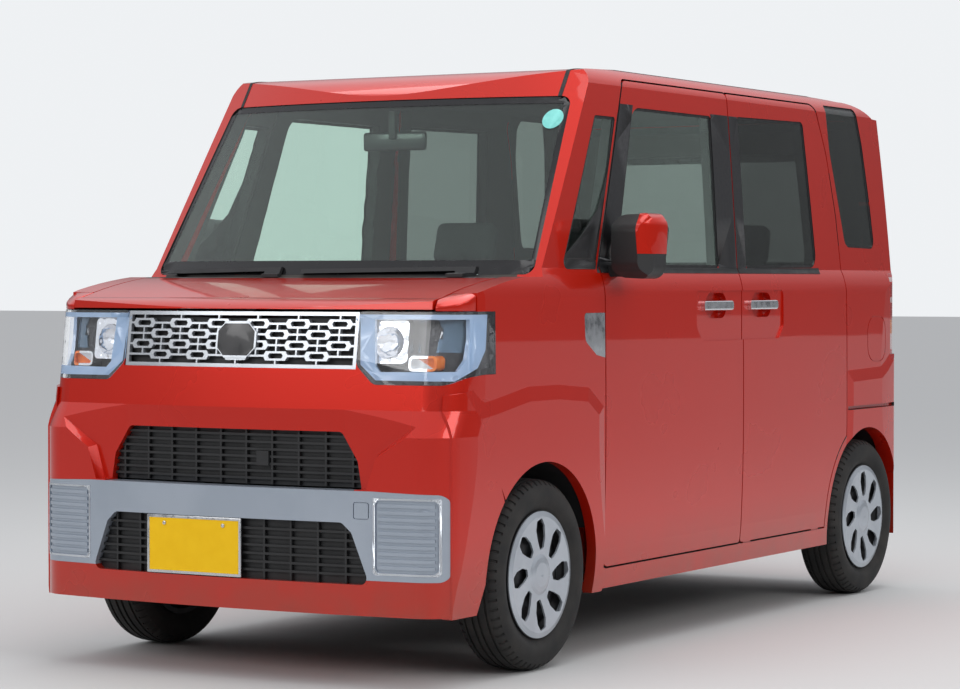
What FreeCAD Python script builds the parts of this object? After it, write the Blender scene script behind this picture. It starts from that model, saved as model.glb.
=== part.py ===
"""A tall, boxy kei car with two front-hinged doors, two sliding doors and a lift-up tailgate.

Millimetres. +Z up, the nose points to -Y and the car's left side is +X. The origin is on the
ground, at mid width and mid length. Outer skins come from one body envelope: a tumblehome
section run along the car, cut by the nose and tail plans, the bonnet, the windscreen and the
roof. Each panel is the wall between that envelope and an inner one, inside its own shut lines.
"""
import FreeCAD
import Part
import math
import os

V = FreeCAD.Vector

# Overall sizes
LENGTH = 3395.0
WIDTH = 1475.0
HEIGHT = 1835.0
BULGE = 6.0
HALF_WIDTH = WIDTH / 2 - BULGE
NOSE_Y = -LENGTH / 2
TAIL_Y = LENGTH / 2


def from_nose(distance):
    return NOSE_Y + distance


def from_tail(distance):
    return TAIL_Y - distance


def from_side(distance):
    return HALF_WIDTH - distance


def from_top(distance):
    return HEIGHT - distance


# Wheels and axles
FRONT_OVERHANG = 607.5
REAR_OVERHANG = 332.5
FRONT_AXLE_Y = from_nose(FRONT_OVERHANG)
REAR_AXLE_Y = from_tail(REAR_OVERHANG)
HALF_TRACK = 648.0
TYRE_R = 284.0
TYRE_WIDTH = 158.0
RIM_R = 178.0
FLANGE_R = 190.0
BEAD_X = 58.0
COVER_R = 188.0
COVER_X = 74.0
COVER_OPENINGS = 8
HUB_Z = TYRE_R
KINGPIN_X = 612.0
ARCH_R = 335.0
REAR_ARCH_R = 330.0
ARCH_LINER_GAP = 14.0
LINER = 8.0

# Walls, gaps and seats between pieces
WALL = 46.0
ROOF_WALL = 34.0
NOSE_WALL = 26.0
PANEL = 20.0
BULKHEAD = 26.0
SHUT_GAP = 6.0
HALF_GAP = SHUT_GAP / 2
SEAT_GAP = 0.3
GLASS = 5.0
GLASS_SINK = 3.0

# Heights of the main lines
SILL_Z = 205.0
DOOR_BOTTOM_Z = 269.0
DECK_Z = 450.0
BUMPER_STEP_Z = (712.0, 786.0)
TAIL_BREAK_Z = 1150.0
NOSE_OPENING_Z = 1069.0
BONNET_FRONT_Z = 1082.0
COWL_Z = 1165.0
PILLAR_FOOT_Z = 1172.0
BELT_Z = 1196.0
WINDOW_TOP_Z = from_top(133)
HEADER_Z = from_top(97)
GLASSHOUSE_Z = from_top(71)
DOOR_TOP_Z = from_top(48)
ROOF_EDGE_Z = from_top(13)

# Lengthwise places of the shut lines and main pieces
SCREEN_FOOT_Y = from_nose(501.5)
BONNET_REAR_Y = from_nose(481.5)
LAMP_REAR_Y = from_nose(321.5)
FENDER_FRONT_Y = from_nose(227.5)
BUMPER_REAR_Y = from_nose(397.5)
FIREWALL_Y = from_nose(713.5)
FENDER_REAR_Y = from_nose(997.5)
PILLAR_B_Y = from_nose(1992.5)
SLIDE_REAR_Y = from_tail(516.5)
FLOOR_STEP_Y = from_tail(837.5)
TAILGATE_TOP_Y = from_tail(197.5)
TAILGATE_FACE_Y = from_tail(137.5)
REAR_BUMPER_FRONT_Y = from_tail(107.5)
TAIL_LAMP_FRONT_Y = from_tail(89.5)
ARCH_BACK_Y = REAR_AXLE_Y + 296

# Sideways places, from the centre line
ROOF_SEAM_X = from_side(131.5)
BONNET_HALF = from_side(91.5)
TAILGATE_HALF = from_side(125.5)
ROCKER_X = from_side(91.5)
DOOR_POST_X = from_side(61.5)
HINGE_POST_X = from_side(77.5)
FRONT_HOUSE_X = 402.0
REAR_HOUSE_X = 545.0
SIDE = HALF_WIDTH + 160

# Rake of the nose above the bumper, of the windscreen and of the tail, in mm of Y for each mm of Z
NOSE_RAKE = 0.14
SCREEN_RAKE = 0.665
TAIL_RAKE = -0.13
BUMPER_STEP = 42.0
SCREEN_BOW = 150.0
SCREEN_BOW_X = 800.0

FAR = 4000.0
BELOW = -200.0


def prism_yz(points, x0, x1):
    """A side-view outline, given as (y, z) points, run across the car from x0 to x1."""
    outline = Part.makePolygon([V(x0, y, z) for y, z in points + points[:1]])
    return Part.Face(outline).extrude(V(x1 - x0, 0, 0))


def prism_xz(points, y0, y1):
    """A front-view outline, given as (x, z) points, run along the car from y0 to y1."""
    face = Part.Face(Part.makePolygon([V(x, y0, z) for x, z in points + points[:1]]))
    return face.extrude(V(0, y1 - y0, 0))


def prism_xy(points, z0, z1):
    """A plan outline, given as (x, y) points, run up from z0 to z1."""
    face = Part.Face(Part.makePolygon([V(x, y, z0) for x, y in points + points[:1]]))
    return face.extrude(V(0, 0, z1 - z0))


def rounded_outline(points, radius, place):
    """A closed outline with its corners rounded. place turns an outline point into a vector."""
    n = len(points)
    edges = []
    ends = []
    for i in range(n):
        a = V(*points[i - 1], 0)
        b = V(*points[i], 0)
        c = V(*points[(i + 1) % n], 0)
        r = radius[i] if isinstance(radius, (list, tuple)) else radius
        u = (a - b).normalize()
        w = (c - b).normalize()
        half = u.getAngle(w) / 2
        if r <= 0 or abs(half - math.pi / 2) < 1e-4:
            ends.append((b, b, None))
            continue
        t = r / math.tan(half)
        s = b + u * t
        e = b + w * t
        mid_dir = (u + w).normalize()
        centre = b + mid_dir * (r / math.sin(half))
        ends.append((s, e, centre - mid_dir * r))
    for i in range(n):
        s, e, mid = ends[i]
        nxt = ends[(i + 1) % n][0]
        if mid is not None:
            edges.append(Part.Arc(place(s), place(mid), place(e)).toShape())
        if (nxt - e).Length > 1e-6:
            edges.append(Part.makeLine(place(e), place(nxt)))
    return Part.Wire(edges)


def rounded_prism_yz(points, radius, x0, x1):
    wire = rounded_outline(points, radius, lambda p: V(x0, p.x, p.y))
    return Part.Face(wire).extrude(V(x1 - x0, 0, 0))


def rounded_prism_xz(points, radius, y0, y1):
    wire = rounded_outline(points, radius, lambda p: V(p.x, y0, p.y))
    return Part.Face(wire).extrude(V(0, y1 - y0, 0))


def block(x0, x1, y0, y1, z0, z1):
    return Part.makeBox(x1 - x0, y1 - y0, z1 - z0, V(x0, y0, z0))


def cylinder_x(radius, x0, x1, y, z):
    return Part.makeCylinder(radius, x1 - x0, V(x0, y, z), V(1, 0, 0))


def cylinder_y(radius, x, y0, y1, z):
    return Part.makeCylinder(radius, y1 - y0, V(x, y0, z), V(0, 1, 0))


def cylinder_z(radius, x, y, z0, z1):
    return Part.makeCylinder(radius, z1 - z0, V(x, y, z0), V(0, 0, 1))


def clean(shape):
    """Merge faces that lie on one surface, where that leaves a valid solid."""
    merged = shape.removeSplitter()
    return merged if merged.isValid() else shape


def largest(shape):
    return max(shape.Solids, key=lambda solid: solid.Volume)


def arc3(a, b, c):
    return Part.Arc(a, b, c).toShape()


def mirror_x(shape):
    return shape.mirror(V(0, 0, 0), V(1, 0, 0))


def left_right(shape):
    """The left piece and its mirror image on the right, as two solids of one node."""
    return Part.makeCompound([shape, mirror_x(shape)])


def inset(points, d):
    """Move every corner of a closed outline inwards along its bisector, so its edges move in by d."""
    n = len(points)
    area = sum(points[i - 1][0] * points[i][1] - points[i][0] * points[i - 1][1] for i in range(n))
    turn = 1 if area > 0 else -1
    moved = []
    for i in range(n):
        a = V(*points[i - 1], 0)
        b = V(*points[i], 0)
        c = V(*points[(i + 1) % n], 0)
        u = (b - a).normalize()
        w = (c - b).normalize()
        nu = V(-u.y, u.x, 0) * turn
        nw = V(-w.y, w.x, 0) * turn
        k = d / (1 + nu.dot(nw))
        moved.append((b.x + (nu.x + nw.x) * k, b.y + (nu.y + nw.y) * k))
    return moved


# Body envelope

# Front-view section, one side: start, end and a point between them, as (x in from the side, z)
SECTION_ARCS = [
    ((9, 330), (0, 700), (2.2, 515)),
    ((0, 700), (3, 1105), (0.6, 900)),
    ((3, 1105), (25, 1192), (10.5, 1154)),
    ((25, 1192), (65, GLASSHOUSE_Z), (43, (1192 + GLASSHOUSE_Z) / 2 - 8)),
    ((65, GLASSHOUSE_Z), (136, ROOF_EDGE_Z), (88, from_top(33))),
]
SILL_TUCK = 20.0

# Plan of the nose and of the tail, one side: (x in from the side, y in from the end)
NOSE_BOW = (104, 40)
NOSE_ARCS = [((104, 40), (10, 130), (42.2, 69.5)), ((10, 130), (-1, 250), (2, 188))]
TAIL_BOW = (72, 12)
TAIL_ARCS = [((72, 12), (8, 78), (27.5, 32)), ((8, 78), (-1, 230), (2.6, 152))]
PLAN_FLARE = 400.0

# The bumper's wings: the recess between them, in front view, at its mouth and at its floor
WING_MOUTH = [(492, 562), (530, 645), (702, 708), (702, 860)]
WING_FLOOR = [(470, 562), (500, 662), (676, 776), (676, 860)]

# Side-view crest lines of the bulges over the front and the rear wheel
FRONT_BULGE = [
    (from_nose(140), BELOW),
    (from_nose(140), 792),
    (from_nose(310), 812),
    (from_nose(510), 842),
    (from_nose(695), 842),
    (from_nose(885), 828),
    (from_nose(985), 768),
    (from_nose(985), BELOW),
]
REAR_BULGE = [
    (SLIDE_REAR_Y + 6, BELOW),
    (SLIDE_REAR_Y + 6, 826),
    (from_tail(70), 836),
    (from_tail(70), BELOW),
]
BULGE_SLOPE = 42.0


def mirrored_outline(points):
    """A front-view outline from its right half: (x, z) points from the bottom up."""
    return points + [(-x, z) for x, z in reversed(points)]


def section_wire(wall, roof):
    """Front-view section: flat floor, tucked sill, barrel sides, leaning glass and a crowned roof."""
    y = -FAR / 2

    def point(side, p):
        top = roof if p[1] > WINDOW_TOP_Z else 0
        return V(side * (HALF_WIDTH - wall - p[0]), y, p[1] - top)

    edges = []
    for side in (1, -1):
        low = point(side, (SILL_TUCK, SILL_Z + wall))
        edges.append(Part.makeLine(low, point(side, SECTION_ARCS[0][0])))
        for a, b, mid in SECTION_ARCS:
            edges.append(arc3(point(side, a), point(side, mid), point(side, b)))
    left = point(1, SECTION_ARCS[-1][1])
    right = point(-1, SECTION_ARCS[-1][1])
    edges.append(arc3(right, V(0, y, HEIGHT - roof), left))
    edges.append(Part.makeLine(point(-1, (SILL_TUCK, SILL_Z + wall)), point(1, (SILL_TUCK, SILL_Z + wall))))
    return Part.Wire(Part.sortEdges(edges)[0])


def end_plan_wire(z, wall, end_y, sign, bow, arcs):
    """Plan of one end of the body: bowed face, rounded corners, and sides that run to the other end."""
    y0 = end_y + sign * wall

    def point(side, p):
        return V(side * (HALF_WIDTH - wall - p[0]), y0 + sign * p[1], z)

    edges = [arc3(point(-1, bow), V(0, y0, z), point(1, bow))]
    far_y = sign * FAR
    for side in (1, -1):
        for a, b, mid in arcs:
            edges.append(arc3(point(side, a), point(side, mid), point(side, b)))
        last = point(side, arcs[-1][1])
        flare = last + V(side * PLAN_FLARE, sign * PLAN_FLARE, 0)
        edges.append(Part.makeLine(last, flare))
        edges.append(Part.makeLine(flare, V(flare.x, far_y, z)))
    edges.append(Part.makeLine(V(-flare.x, far_y, z), V(flare.x, far_y, z)))
    return Part.Wire(Part.sortEdges(edges)[0])


def screen_plan_wire(z, wall):
    """Plan of the windscreen at height z: a bow that is furthest forward on the centre line."""
    y0 = SCREEN_FOOT_Y + (z - COWL_Z) * SCREEN_RAKE + wall * math.hypot(1, SCREEN_RAKE)
    a = V(-SCREEN_BOW_X, y0 + SCREEN_BOW, z)
    b = V(SCREEN_BOW_X, y0 + SCREEN_BOW, z)
    c = V(SCREEN_BOW_X, FAR, z)
    d = V(-SCREEN_BOW_X, FAR, z)
    edges = [arc3(a, V(0, y0, z), b), Part.makeLine(b, c), Part.makeLine(c, d), Part.makeLine(d, a)]
    return Part.Wire(Part.sortEdges(edges)[0])


def leaning_prism(wire, height, rake):
    return Part.Face(wire).extrude(V(0, height * rake, height))


def roof_profile_wire(wall, roof):
    """Side view of the roof: header curve over the screen, long low arch and the rear drop."""
    x = -FAR / 2
    header = SCREEN_FOOT_Y + (HEADER_Z - COWL_Z) * SCREEN_RAKE + wall
    shelf = V(x, -FAR, HEADER_Z - 38 - roof)
    a = V(x, header - 60, HEADER_Z - 38 - roof)
    b = V(x, header, HEADER_Z - roof)
    c = V(x, header + 190, from_top(23) - roof)
    d = V(x, from_tail(367.5), from_top(23) - roof)
    e = V(x, from_tail(137.5), from_top(75) - roof)
    rear = V(x, FAR, from_top(195) - roof)
    floor_rear = V(x, FAR, BELOW)
    floor_front = V(x, -FAR, BELOW)
    edges = [
        Part.makeLine(floor_front, shelf),
        Part.makeLine(shelf, a),
        Part.makeLine(a, b),
        arc3(b, V(x, header + 70, from_top(51) - roof), c),
        arc3(c, V(x, (c.y + d.y) / 2, HEIGHT + 0.5 - roof), d),
        arc3(d, V(x, from_tail(227.5), from_top(39) - roof), e),
        Part.makeLine(e, rear),
        Part.makeLine(rear, floor_rear),
        Part.makeLine(floor_rear, floor_front),
    ]
    return Part.Wire(Part.sortEdges(edges)[0])


def bonnet_profile_wire(wall, roof):
    """Side view of the bonnet: rolled front edge and a slow rise to the cowl."""
    x = -FAR / 2
    a = V(x, -FAR, BONNET_FRONT_Z - 40 - roof)
    b = V(x, from_nose(60) + wall, BONNET_FRONT_Z - 28 - roof)
    c = V(x, from_nose(170) + wall, BONNET_FRONT_Z + 22 - roof)
    d = V(x, SCREEN_FOOT_Y + 10, COWL_Z - roof)
    edges = [
        Part.makeLine(a, b),
        arc3(b, V(x, from_nose(100) + wall, BONNET_FRONT_Z + 2 - roof), c),
        arc3(c, V(x, from_nose(347.5), COWL_Z - 22 - roof), d),
        Part.makeLine(d, V(x, FAR, COWL_Z - roof)),
        Part.makeLine(V(x, FAR, COWL_Z - roof), V(x, FAR, BELOW)),
        Part.makeLine(V(x, FAR, BELOW), V(x, -FAR, BELOW)),
        Part.makeLine(V(x, -FAR, BELOW), a),
    ]
    return Part.Wire(Part.sortEdges(edges)[0])


def wing_recess(wall):
    """The hollow between the bumper's wings, which narrows from its mouth to its floor."""
    sections = []
    for y, half in ((NOSE_Y - 30, WING_MOUTH), (NOSE_Y + BUMPER_STEP + wall + 15, WING_FLOOR)):
        outline = inset(mirrored_outline(half), -wall)
        sections.append(Part.makePolygon([V(x, y, z) for x, z in outline + outline[:1]]))
    return Part.makeLoft(sections, True, True)


def nose_block(wall):
    """Everything behind the nose: the bumper with its two wings, its step and the raked face above."""
    step_low, step_high = BUMPER_STEP_Z
    face = (1, NOSE_BOW, NOSE_ARCS)
    low = leaning_prism(end_plan_wire(BELOW, wall, NOSE_Y, *face), step_low - BELOW, 0)
    rake = BUMPER_STEP / (step_high - step_low)
    step = leaning_prism(end_plan_wire(step_low, wall, NOSE_Y, *face), step_high - step_low, rake)
    back_y = NOSE_Y + BUMPER_STEP
    flat = leaning_prism(end_plan_wire(BELOW, wall, back_y, *face), step_high - BELOW, 0)
    high = leaning_prism(end_plan_wire(step_high, wall, back_y, *face), FAR / 2, NOSE_RAKE)
    return low.fuse(step).cut(wing_recess(wall)).fuse(flat).fuse(high)


def envelope(wall, roof):
    """The whole body as one solid, with its sides and ends inset by wall and its top by roof."""
    section = Part.Face(section_wire(wall, roof)).extrude(V(0, 2 * FAR, 0))
    tail = (TAIL_Y, -1, TAIL_BOW, TAIL_ARCS)
    tail_low = leaning_prism(end_plan_wire(BELOW, wall, *tail), TAIL_BREAK_Z - BELOW, 0)
    tail_high = leaning_prism(end_plan_wire(TAIL_BREAK_Z, wall, *tail), FAR / 2, TAIL_RAKE)
    bonnet = Part.Face(bonnet_profile_wire(wall, roof)).extrude(V(2 * FAR, 0, 0))
    screen = leaning_prism(screen_plan_wire(0, wall), FAR / 2, SCREEN_RAKE)
    top = Part.Face(roof_profile_wire(wall, roof)).extrude(V(2 * FAR, 0, 0))
    body = section.common(nose_block(wall)).common(tail_low.fuse(tail_high))
    low = body.common(bonnet)
    high = body.common(screen).common(top)
    return clean(low.fuse(high))


def wheel_bulge(crest, y0, y1):
    """A low swelling of the left side inside a side-view crest line, with sloping edges."""
    sections = []
    for rise in (-BULGE, BULGE):
        outline = inset(crest, BULGE_SLOPE * rise / BULGE)
        x = HALF_WIDTH + rise
        sections.append(Part.makePolygon([V(x, y, z) for y, z in outline + outline[:1]]))
    slope = Part.makeLoft(sections, True, True)
    root = prism_yz(inset(crest, -BULGE_SLOPE), HALF_WIDTH - WALL, HALF_WIDTH - BULGE)
    return slope.fuse(root).common(RAISED).common(block(0, SIDE, y0, y1, 0, HEIGHT))


PLAIN_OUTER = envelope(0, 0)
RAISED = envelope(-BULGE, 0)
OUTER = PLAIN_OUTER
for bulge in ((FRONT_BULGE, NOSE_Y, FENDER_REAR_Y), (REAR_BULGE, SLIDE_REAR_Y, TAIL_Y)):
    swelling = wheel_bulge(*bulge)
    OUTER = OUTER.fuse(swelling).fuse(mirror_x(swelling))
INNER = envelope(WALL, ROOF_WALL)
NOSE_INNER = envelope(NOSE_WALL, NOSE_WALL)
POST_ZONE = envelope(WALL + SHUT_GAP, ROOF_WALL + SHUT_GAP)
GLASS_OUTER = envelope(GLASS_SINK, GLASS_SINK)
GLASS_INNER = envelope(GLASS_SINK + GLASS, GLASS_SINK + GLASS)
SHELL = OUTER.cut(INNER)
NOSE_SHELL = OUTER.cut(NOSE_INNER)
GLASS_SKIN = GLASS_OUTER.cut(GLASS_INNER)

# Side-view outlines of the openings, in (y, z). grow moves every edge outwards

def front_door_outline(grow):
    """Upright front edge, leaning sash above the belt, upright rear edge."""
    y0 = FENDER_REAR_Y - grow
    return [
        (y0, DOOR_BOTTOM_Z - grow),
        (PILLAR_B_Y + grow, DOOR_BOTTOM_Z - grow),
        (PILLAR_B_Y + grow, DOOR_TOP_Z + grow),
        (y0 + 236, DOOR_TOP_Z + grow),
        (y0, BELT_Z + 19),
    ]


def slide_door_outline(grow):
    """Upright front edge, and a rear edge that leans forward above the belt."""
    y1 = SLIDE_REAR_Y + grow
    return [
        (PILLAR_B_Y - grow, DOOR_BOTTOM_Z - grow),
        (y1, DOOR_BOTTOM_Z - grow),
        (y1, BELT_Z - 16),
        (y1 - 23, 1390),
        (y1 - 75, from_top(225)),
        (y1 - 151, DOOR_TOP_Z + grow),
        (PILLAR_B_Y - grow, DOOR_TOP_Z + grow),
    ]


FRONT_DOOR_CORNERS = [34, 12, 12, 40, 60]
SLIDE_DOOR_CORNERS = [12, 0, 200, 300, 260, 60, 12]
DOOR_LIP = 24.0
FRONT_WINDOW = [
    (FENDER_REAR_Y + 108, BELT_Z),
    (PILLAR_B_Y - 145, BELT_Z),
    (PILLAR_B_Y - 137, WINDOW_TOP_Z),
    (FENDER_REAR_Y + 288, WINDOW_TOP_Z),
]
FRONT_WINDOW_CORNERS = [14, 14, 14, 70]
SLIDE_WINDOW = [
    (PILLAR_B_Y + 71, BELT_Z),
    (SLIDE_REAR_Y - 219, BELT_Z + 4),
    (SLIDE_REAR_Y - 243, 1460),
    (SLIDE_REAR_Y - 267, WINDOW_TOP_Z + 16),
    (PILLAR_B_Y + 71, WINDOW_TOP_Z + 8),
]
SLIDE_WINDOW_CORNERS = [12, 50, 0, 24, 12]
QUARTER_WINDOW = [
    (FENDER_REAR_Y - 240, 1188),
    (FENDER_REAR_Y - 18, 1188),
    (FENDER_REAR_Y - 18, 1215),
    (FENDER_REAR_Y + 168, from_top(170)),
    (FENDER_REAR_Y + 32, from_top(170)),
]
QUARTER_WINDOW_CORNERS = [22, 12, 60, 8, 14]
REAR_QUARTER = [
    (SLIDE_REAR_Y + 51, 1276),
    (from_tail(191.5), 1272),
    (from_tail(213.5), 1441),
    (from_tail(251.5), from_top(177)),
    (from_tail(291.5), from_top(45)),
    (SLIDE_REAR_Y - 55, from_top(45)),
    (SLIDE_REAR_Y - 43, from_top(215)),
]
REAR_QUARTER_CORNERS = [46, 34, 300, 400, 20, 10, 300]

# Front-view outlines, in (x, z)
SCREEN_OUTLINE = mirrored_outline([(from_side(43.5), PILLAR_FOOT_Z), (from_side(101.5), from_top(113))])
SCREEN_CORNERS = [26, 34, 34, 26]
SCREEN_REACH = (from_nose(297.5), from_nose(1197.5))
TAILGATE_WINDOW = mirrored_outline([(from_side(211.5), BELT_Z), (from_side(245.5), from_top(195))])
TAILGATE_WINDOW_CORNERS = 46
TAILGATE_BOTTOM_Z = 520.0
REAR_BUMPER_TOP_Z = 560.0
TAIL_LAMP_Z = (858.0, 1182.0)
TAIL_REACH_Y = from_tail(297.5)

NOSE_REACH_Y = from_nose(297.5)
LAMP_OUTLINE = [(412, 1066), (760, 1066), (760, 905), (690, 858), (470, 858), (412, 912)]
LAMP_CORNERS = [10, 10, 40, 60, 30, 30]
LAMP_RIM = 20.0
LAMP_RIM_CORNERS = [6, 6, 30, 40, 14, 14]
LAMP_DEPTH = 64.0
LAMP_INSIDE_DEPTH = 20.0
LAMP_BACK_Y = from_nose(190)
REFLECTOR = [(440, 918), (556, 918), (556, 1040), (440, 1040)]
REFLECTOR_SCOOP = (V(498, from_nose(106), 979), 50.0)
PROJECTOR = (600.0, 1003.0, 38.0)
TURN_LAMP = [(562, 896), (646, 896), (646, 940), (562, 940)]

UPPER_OPENING = mirrored_outline([(446, 546), (430, 640), (376, 723)])
UPPER_MESH = mirrored_outline([(452, 563), (436, 643), (380, 729)])
LOWER_OPENING = mirrored_outline([(490, 293), (432, 440), (400, 468)])
LOWER_MESH = mirrored_outline([(497, 287), (438, 444), (404, 474)])
OPENING_CORNERS = 20
MESH = 8.0
MESH_RIB = 12.0
UPPER_RIBS_Z = range(578, 716, 21)
LOWER_RIBS_Z = range(316, 460, 24)
RIB_HEIGHT = 7.0
RIB_UPRIGHTS = range(-405, 406, 90)
SENSOR = (105.0, 640.0, 21.0)

GARNISH_OUTLINE = mirrored_outline([(712, 306), (712, 552), (496, 559)])
GARNISH_CORNERS = [22, 26, 0, 0, 26, 22]
GARNISH_REAR_Y = from_nose(118)
PAD = [(508, 330), (690, 330), (690, 534), (508, 534)]
PAD_CORNERS = 16
PAD_RIBS = 10
PAD_DEPTH = 5.0
TOW_COVER = [(438, 478), (488, 478), (488, 528), (438, 528)]
GROOVE = 3.0

GRILLE_HALF = 409.0
GRILLE_Z = (901.0, 1064.0)
GRILLE_FRAME = 11.0
GRILLE_SINK = 4.0
GRILLE_DEPTH = 18.0
GRILLE_ROWS = 4
GRILLE_PITCH = (139.0, 31.0)
GRILLE_BAR = 6.0
GRILLE_POST = 5.0
HEX_RING = (86.0, 27.0)
HEX_HOLE = (52.0, 15.0)
BADGE_PLATE = (142.0, 107.0)
BADGE_CORNER = 32.0

# The seam between the bumper and the fender, and the fender's small garnish, in (y, z)
FENDER_SEAM = [(from_nose(343.5), 560), (from_nose(253.5), 868)]
FENDER_GARNISH = [
    (FENDER_REAR_Y - 136, 1056),
    (FENDER_REAR_Y - HALF_GAP, 1056),
    (FENDER_REAR_Y - HALF_GAP, 918),
    (FENDER_REAR_Y - 59, 927),
    (FENDER_REAR_Y - 132, 971),
]
FENDER_GARNISH_CORNERS = [12, 0, 0, 20, 30]
FENDER_GARNISH_X = HALF_WIDTH - 7

# Side trim
HANDLE_Z = 1072.0
HANDLE_HALF = 16.0
HANDLE_OUT = 5.0
HANDLE_END = 34.0
FRONT_HANDLE_Y = (PILLAR_B_Y - 311, PILLAR_B_Y - 87)
SLIDE_HANDLE_Y = (PILLAR_B_Y + 47, PILLAR_B_Y + 271)
HANDLE_PANEL = [
    (PILLAR_B_Y - 356, 1121),
    (PILLAR_B_Y + 330, 1121),
    (PILLAR_B_Y + 330, 1000),
    (PILLAR_B_Y + 290, 956),
    (PILLAR_B_Y - 316, 956),
    (PILLAR_B_Y - 356, 1000),
]
HANDLE_PANEL_SINK = 8.0
HANDLE_CUP_HALF = 42.0
HANDLE_CUP_SINK = 32.0
RAIL_SLOT_Z = (683.0, 697.0)
RAIL_SLOT_DEPTH = 18.0
FILLER_LID = [
    (from_tail(323.5), 854),
    (from_tail(143.5), 854),
    (from_tail(143.5), 1023),
    (from_tail(323.5), 1023),
]
FILLER_CORNERS = 62
FILLER_GROOVE = 4.0
MIRROR_X = (HALF_WIDTH + 17, HALF_WIDTH + 147)
MIRROR_Y = (FENDER_REAR_Y + 1, FENDER_REAR_Y + 126)
MIRROR_Z = (1158.0, 1360.0)

# Posts, rails and floors
HINGE_POST_Y = FENDER_REAR_Y - 6
HINGE_ZONE_X = from_side(105.5)
POST_INNER_X = from_side(103.5)
POST_KNEE_Z = 1150.0
HOUSE_OUTER_X = from_side(31.5)
COWL_BACK_Y = from_nose(697.5)
RADIATOR_Y = from_nose(141.5)
RAIL_X = (342.0, 384.0)
RAIL_Z = (430.0, 510.0)
AXLE_HOLE_R = 110.0
PLATE_WELL = 420.0
PLATE_WELL_DEPTH = 14.0
PLATE_X = -104.0
PLATE_Z = 381.0
REAR_PLATE_Z = 800.0
PLATE_SIZE = (330.0, 165.0)
PLATE_BOLT_SPACING = 210.0
PLATE_BOLT_R = 3.5
PLATE_BOLT_RISE = 62.0
WIPER_RISE = 12.0
WIPER_SPANS = [(-600, -140), (-60, 520)]


def side_zone(points, radius, d=0.0):
    """A side-view outline, inset by d, run through the car's left side."""
    return rounded_prism_yz(inset(points, d), radius, ROOF_SEAM_X + SHUT_GAP, SIDE)


def arch_cut(axle_y, radius, back_y=FAR):
    """Wheel arch opening in one side, squared off behind back_y."""
    hole = cylinder_x(radius, 300, SIDE, axle_y, HUB_Z)
    return hole.common(block(300, SIDE, -FAR, back_y, -FAR, FAR))


def wheel_opening():
    """Both arches of the left side, the front one flared forward below the hub."""
    toe = [
        (FRONT_AXLE_Y - ARCH_R - 60, 150),
        (FRONT_AXLE_Y, 150),
        (FRONT_AXLE_Y, HUB_Z),
        (FRONT_AXLE_Y - ARCH_R, HUB_Z),
    ]
    front = arch_cut(FRONT_AXLE_Y, ARCH_R).fuse(prism_yz(toe, 300, SIDE))
    return front.fuse(arch_cut(REAR_AXLE_Y, REAR_ARCH_R, ARCH_BACK_Y))


def slide_zone(grow):
    arch_r = REAR_ARCH_R + DOOR_LIP + HALF_GAP - grow
    zone = side_zone(slide_door_outline(grow), SLIDE_DOOR_CORNERS)
    return zone.cut(cylinder_x(arch_r, 0, SIDE, REAR_AXLE_Y, HUB_Z))


WHEEL_OPENING = wheel_opening()
FRONT_DOOR_HOLE = side_zone(front_door_outline(HALF_GAP), FRONT_DOOR_CORNERS)
FRONT_DOOR_ZONE = side_zone(front_door_outline(-HALF_GAP), FRONT_DOOR_CORNERS)
SLIDE_HOLE = slide_zone(HALF_GAP)
SLIDE_ZONE = slide_zone(-HALF_GAP)

# A slab that leans with the windscreen and takes in its whole bowed wall
SCREEN_SLAB = prism_yz([
    (SCREEN_FOOT_Y - 150, COWL_Z - 20),
    (SCREEN_FOOT_Y + 190, COWL_Z - 20),
    (SCREEN_FOOT_Y + 190 + (from_top(35) - COWL_Z) * SCREEN_RAKE, from_top(35)),
    (SCREEN_FOOT_Y - 150 + (from_top(35) - COWL_Z) * SCREEN_RAKE, from_top(35)),
], -SIDE, SIDE)


def screen_zone(d):
    outline = inset(SCREEN_OUTLINE, d)
    return rounded_prism_xz(outline, SCREEN_CORNERS, *SCREEN_REACH).common(SCREEN_SLAB)


def lamp_zone(d):
    """Headlamp opening of the left side, seen from the front and run back to the fender."""
    return rounded_prism_xz(inset(LAMP_OUTLINE, d), LAMP_CORNERS, NOSE_Y - 5, LAMP_REAR_Y - d)


def tail_lamp_zone(d):
    y0 = TAIL_LAMP_FRONT_Y + d
    return block(TAILGATE_HALF + HALF_GAP + d, SIDE, y0, FAR, TAIL_LAMP_Z[0] + d, TAIL_LAMP_Z[1] - d)


def tailgate_zone(grow):
    """Everything behind the roof's rear edge and between the lamps, down to the bumper."""
    x = TAILGATE_HALF + grow
    return prism_yz([
        (TAILGATE_TOP_Y - grow, HEIGHT + 165),
        (TAILGATE_TOP_Y - grow, from_top(135)),
        (TAILGATE_FACE_Y - grow, from_top(235)),
        (TAILGATE_FACE_Y - grow, TAILGATE_BOTTOM_Z - grow),
        (FAR, TAILGATE_BOTTOM_Z - grow),
        (FAR, HEIGHT + 165),
    ], -x, x)


# Body sides

def pillar_post(y0, y1, outer_x, top):
    """Box section behind the outer wall, from its foot on the sill up to z = top."""
    foot_z = SILL_Z + WALL
    outline = [
        (outer_x, foot_z),
        (outer_x, POST_KNEE_Z),
        (from_side(81.5), from_top(35)),
        (from_side(125.5), from_top(35)),
        (POST_INNER_X, POST_KNEE_Z),
        (POST_INNER_X, foot_z),
    ]
    post = prism_xz(outline, y0, y1).common(POST_ZONE).common(block(0, SIDE, y0, y1, 0, top))
    return post.fuse(block(POST_INNER_X, ROCKER_X + 8, y0, y1, foot_z, foot_z + 20))


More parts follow.
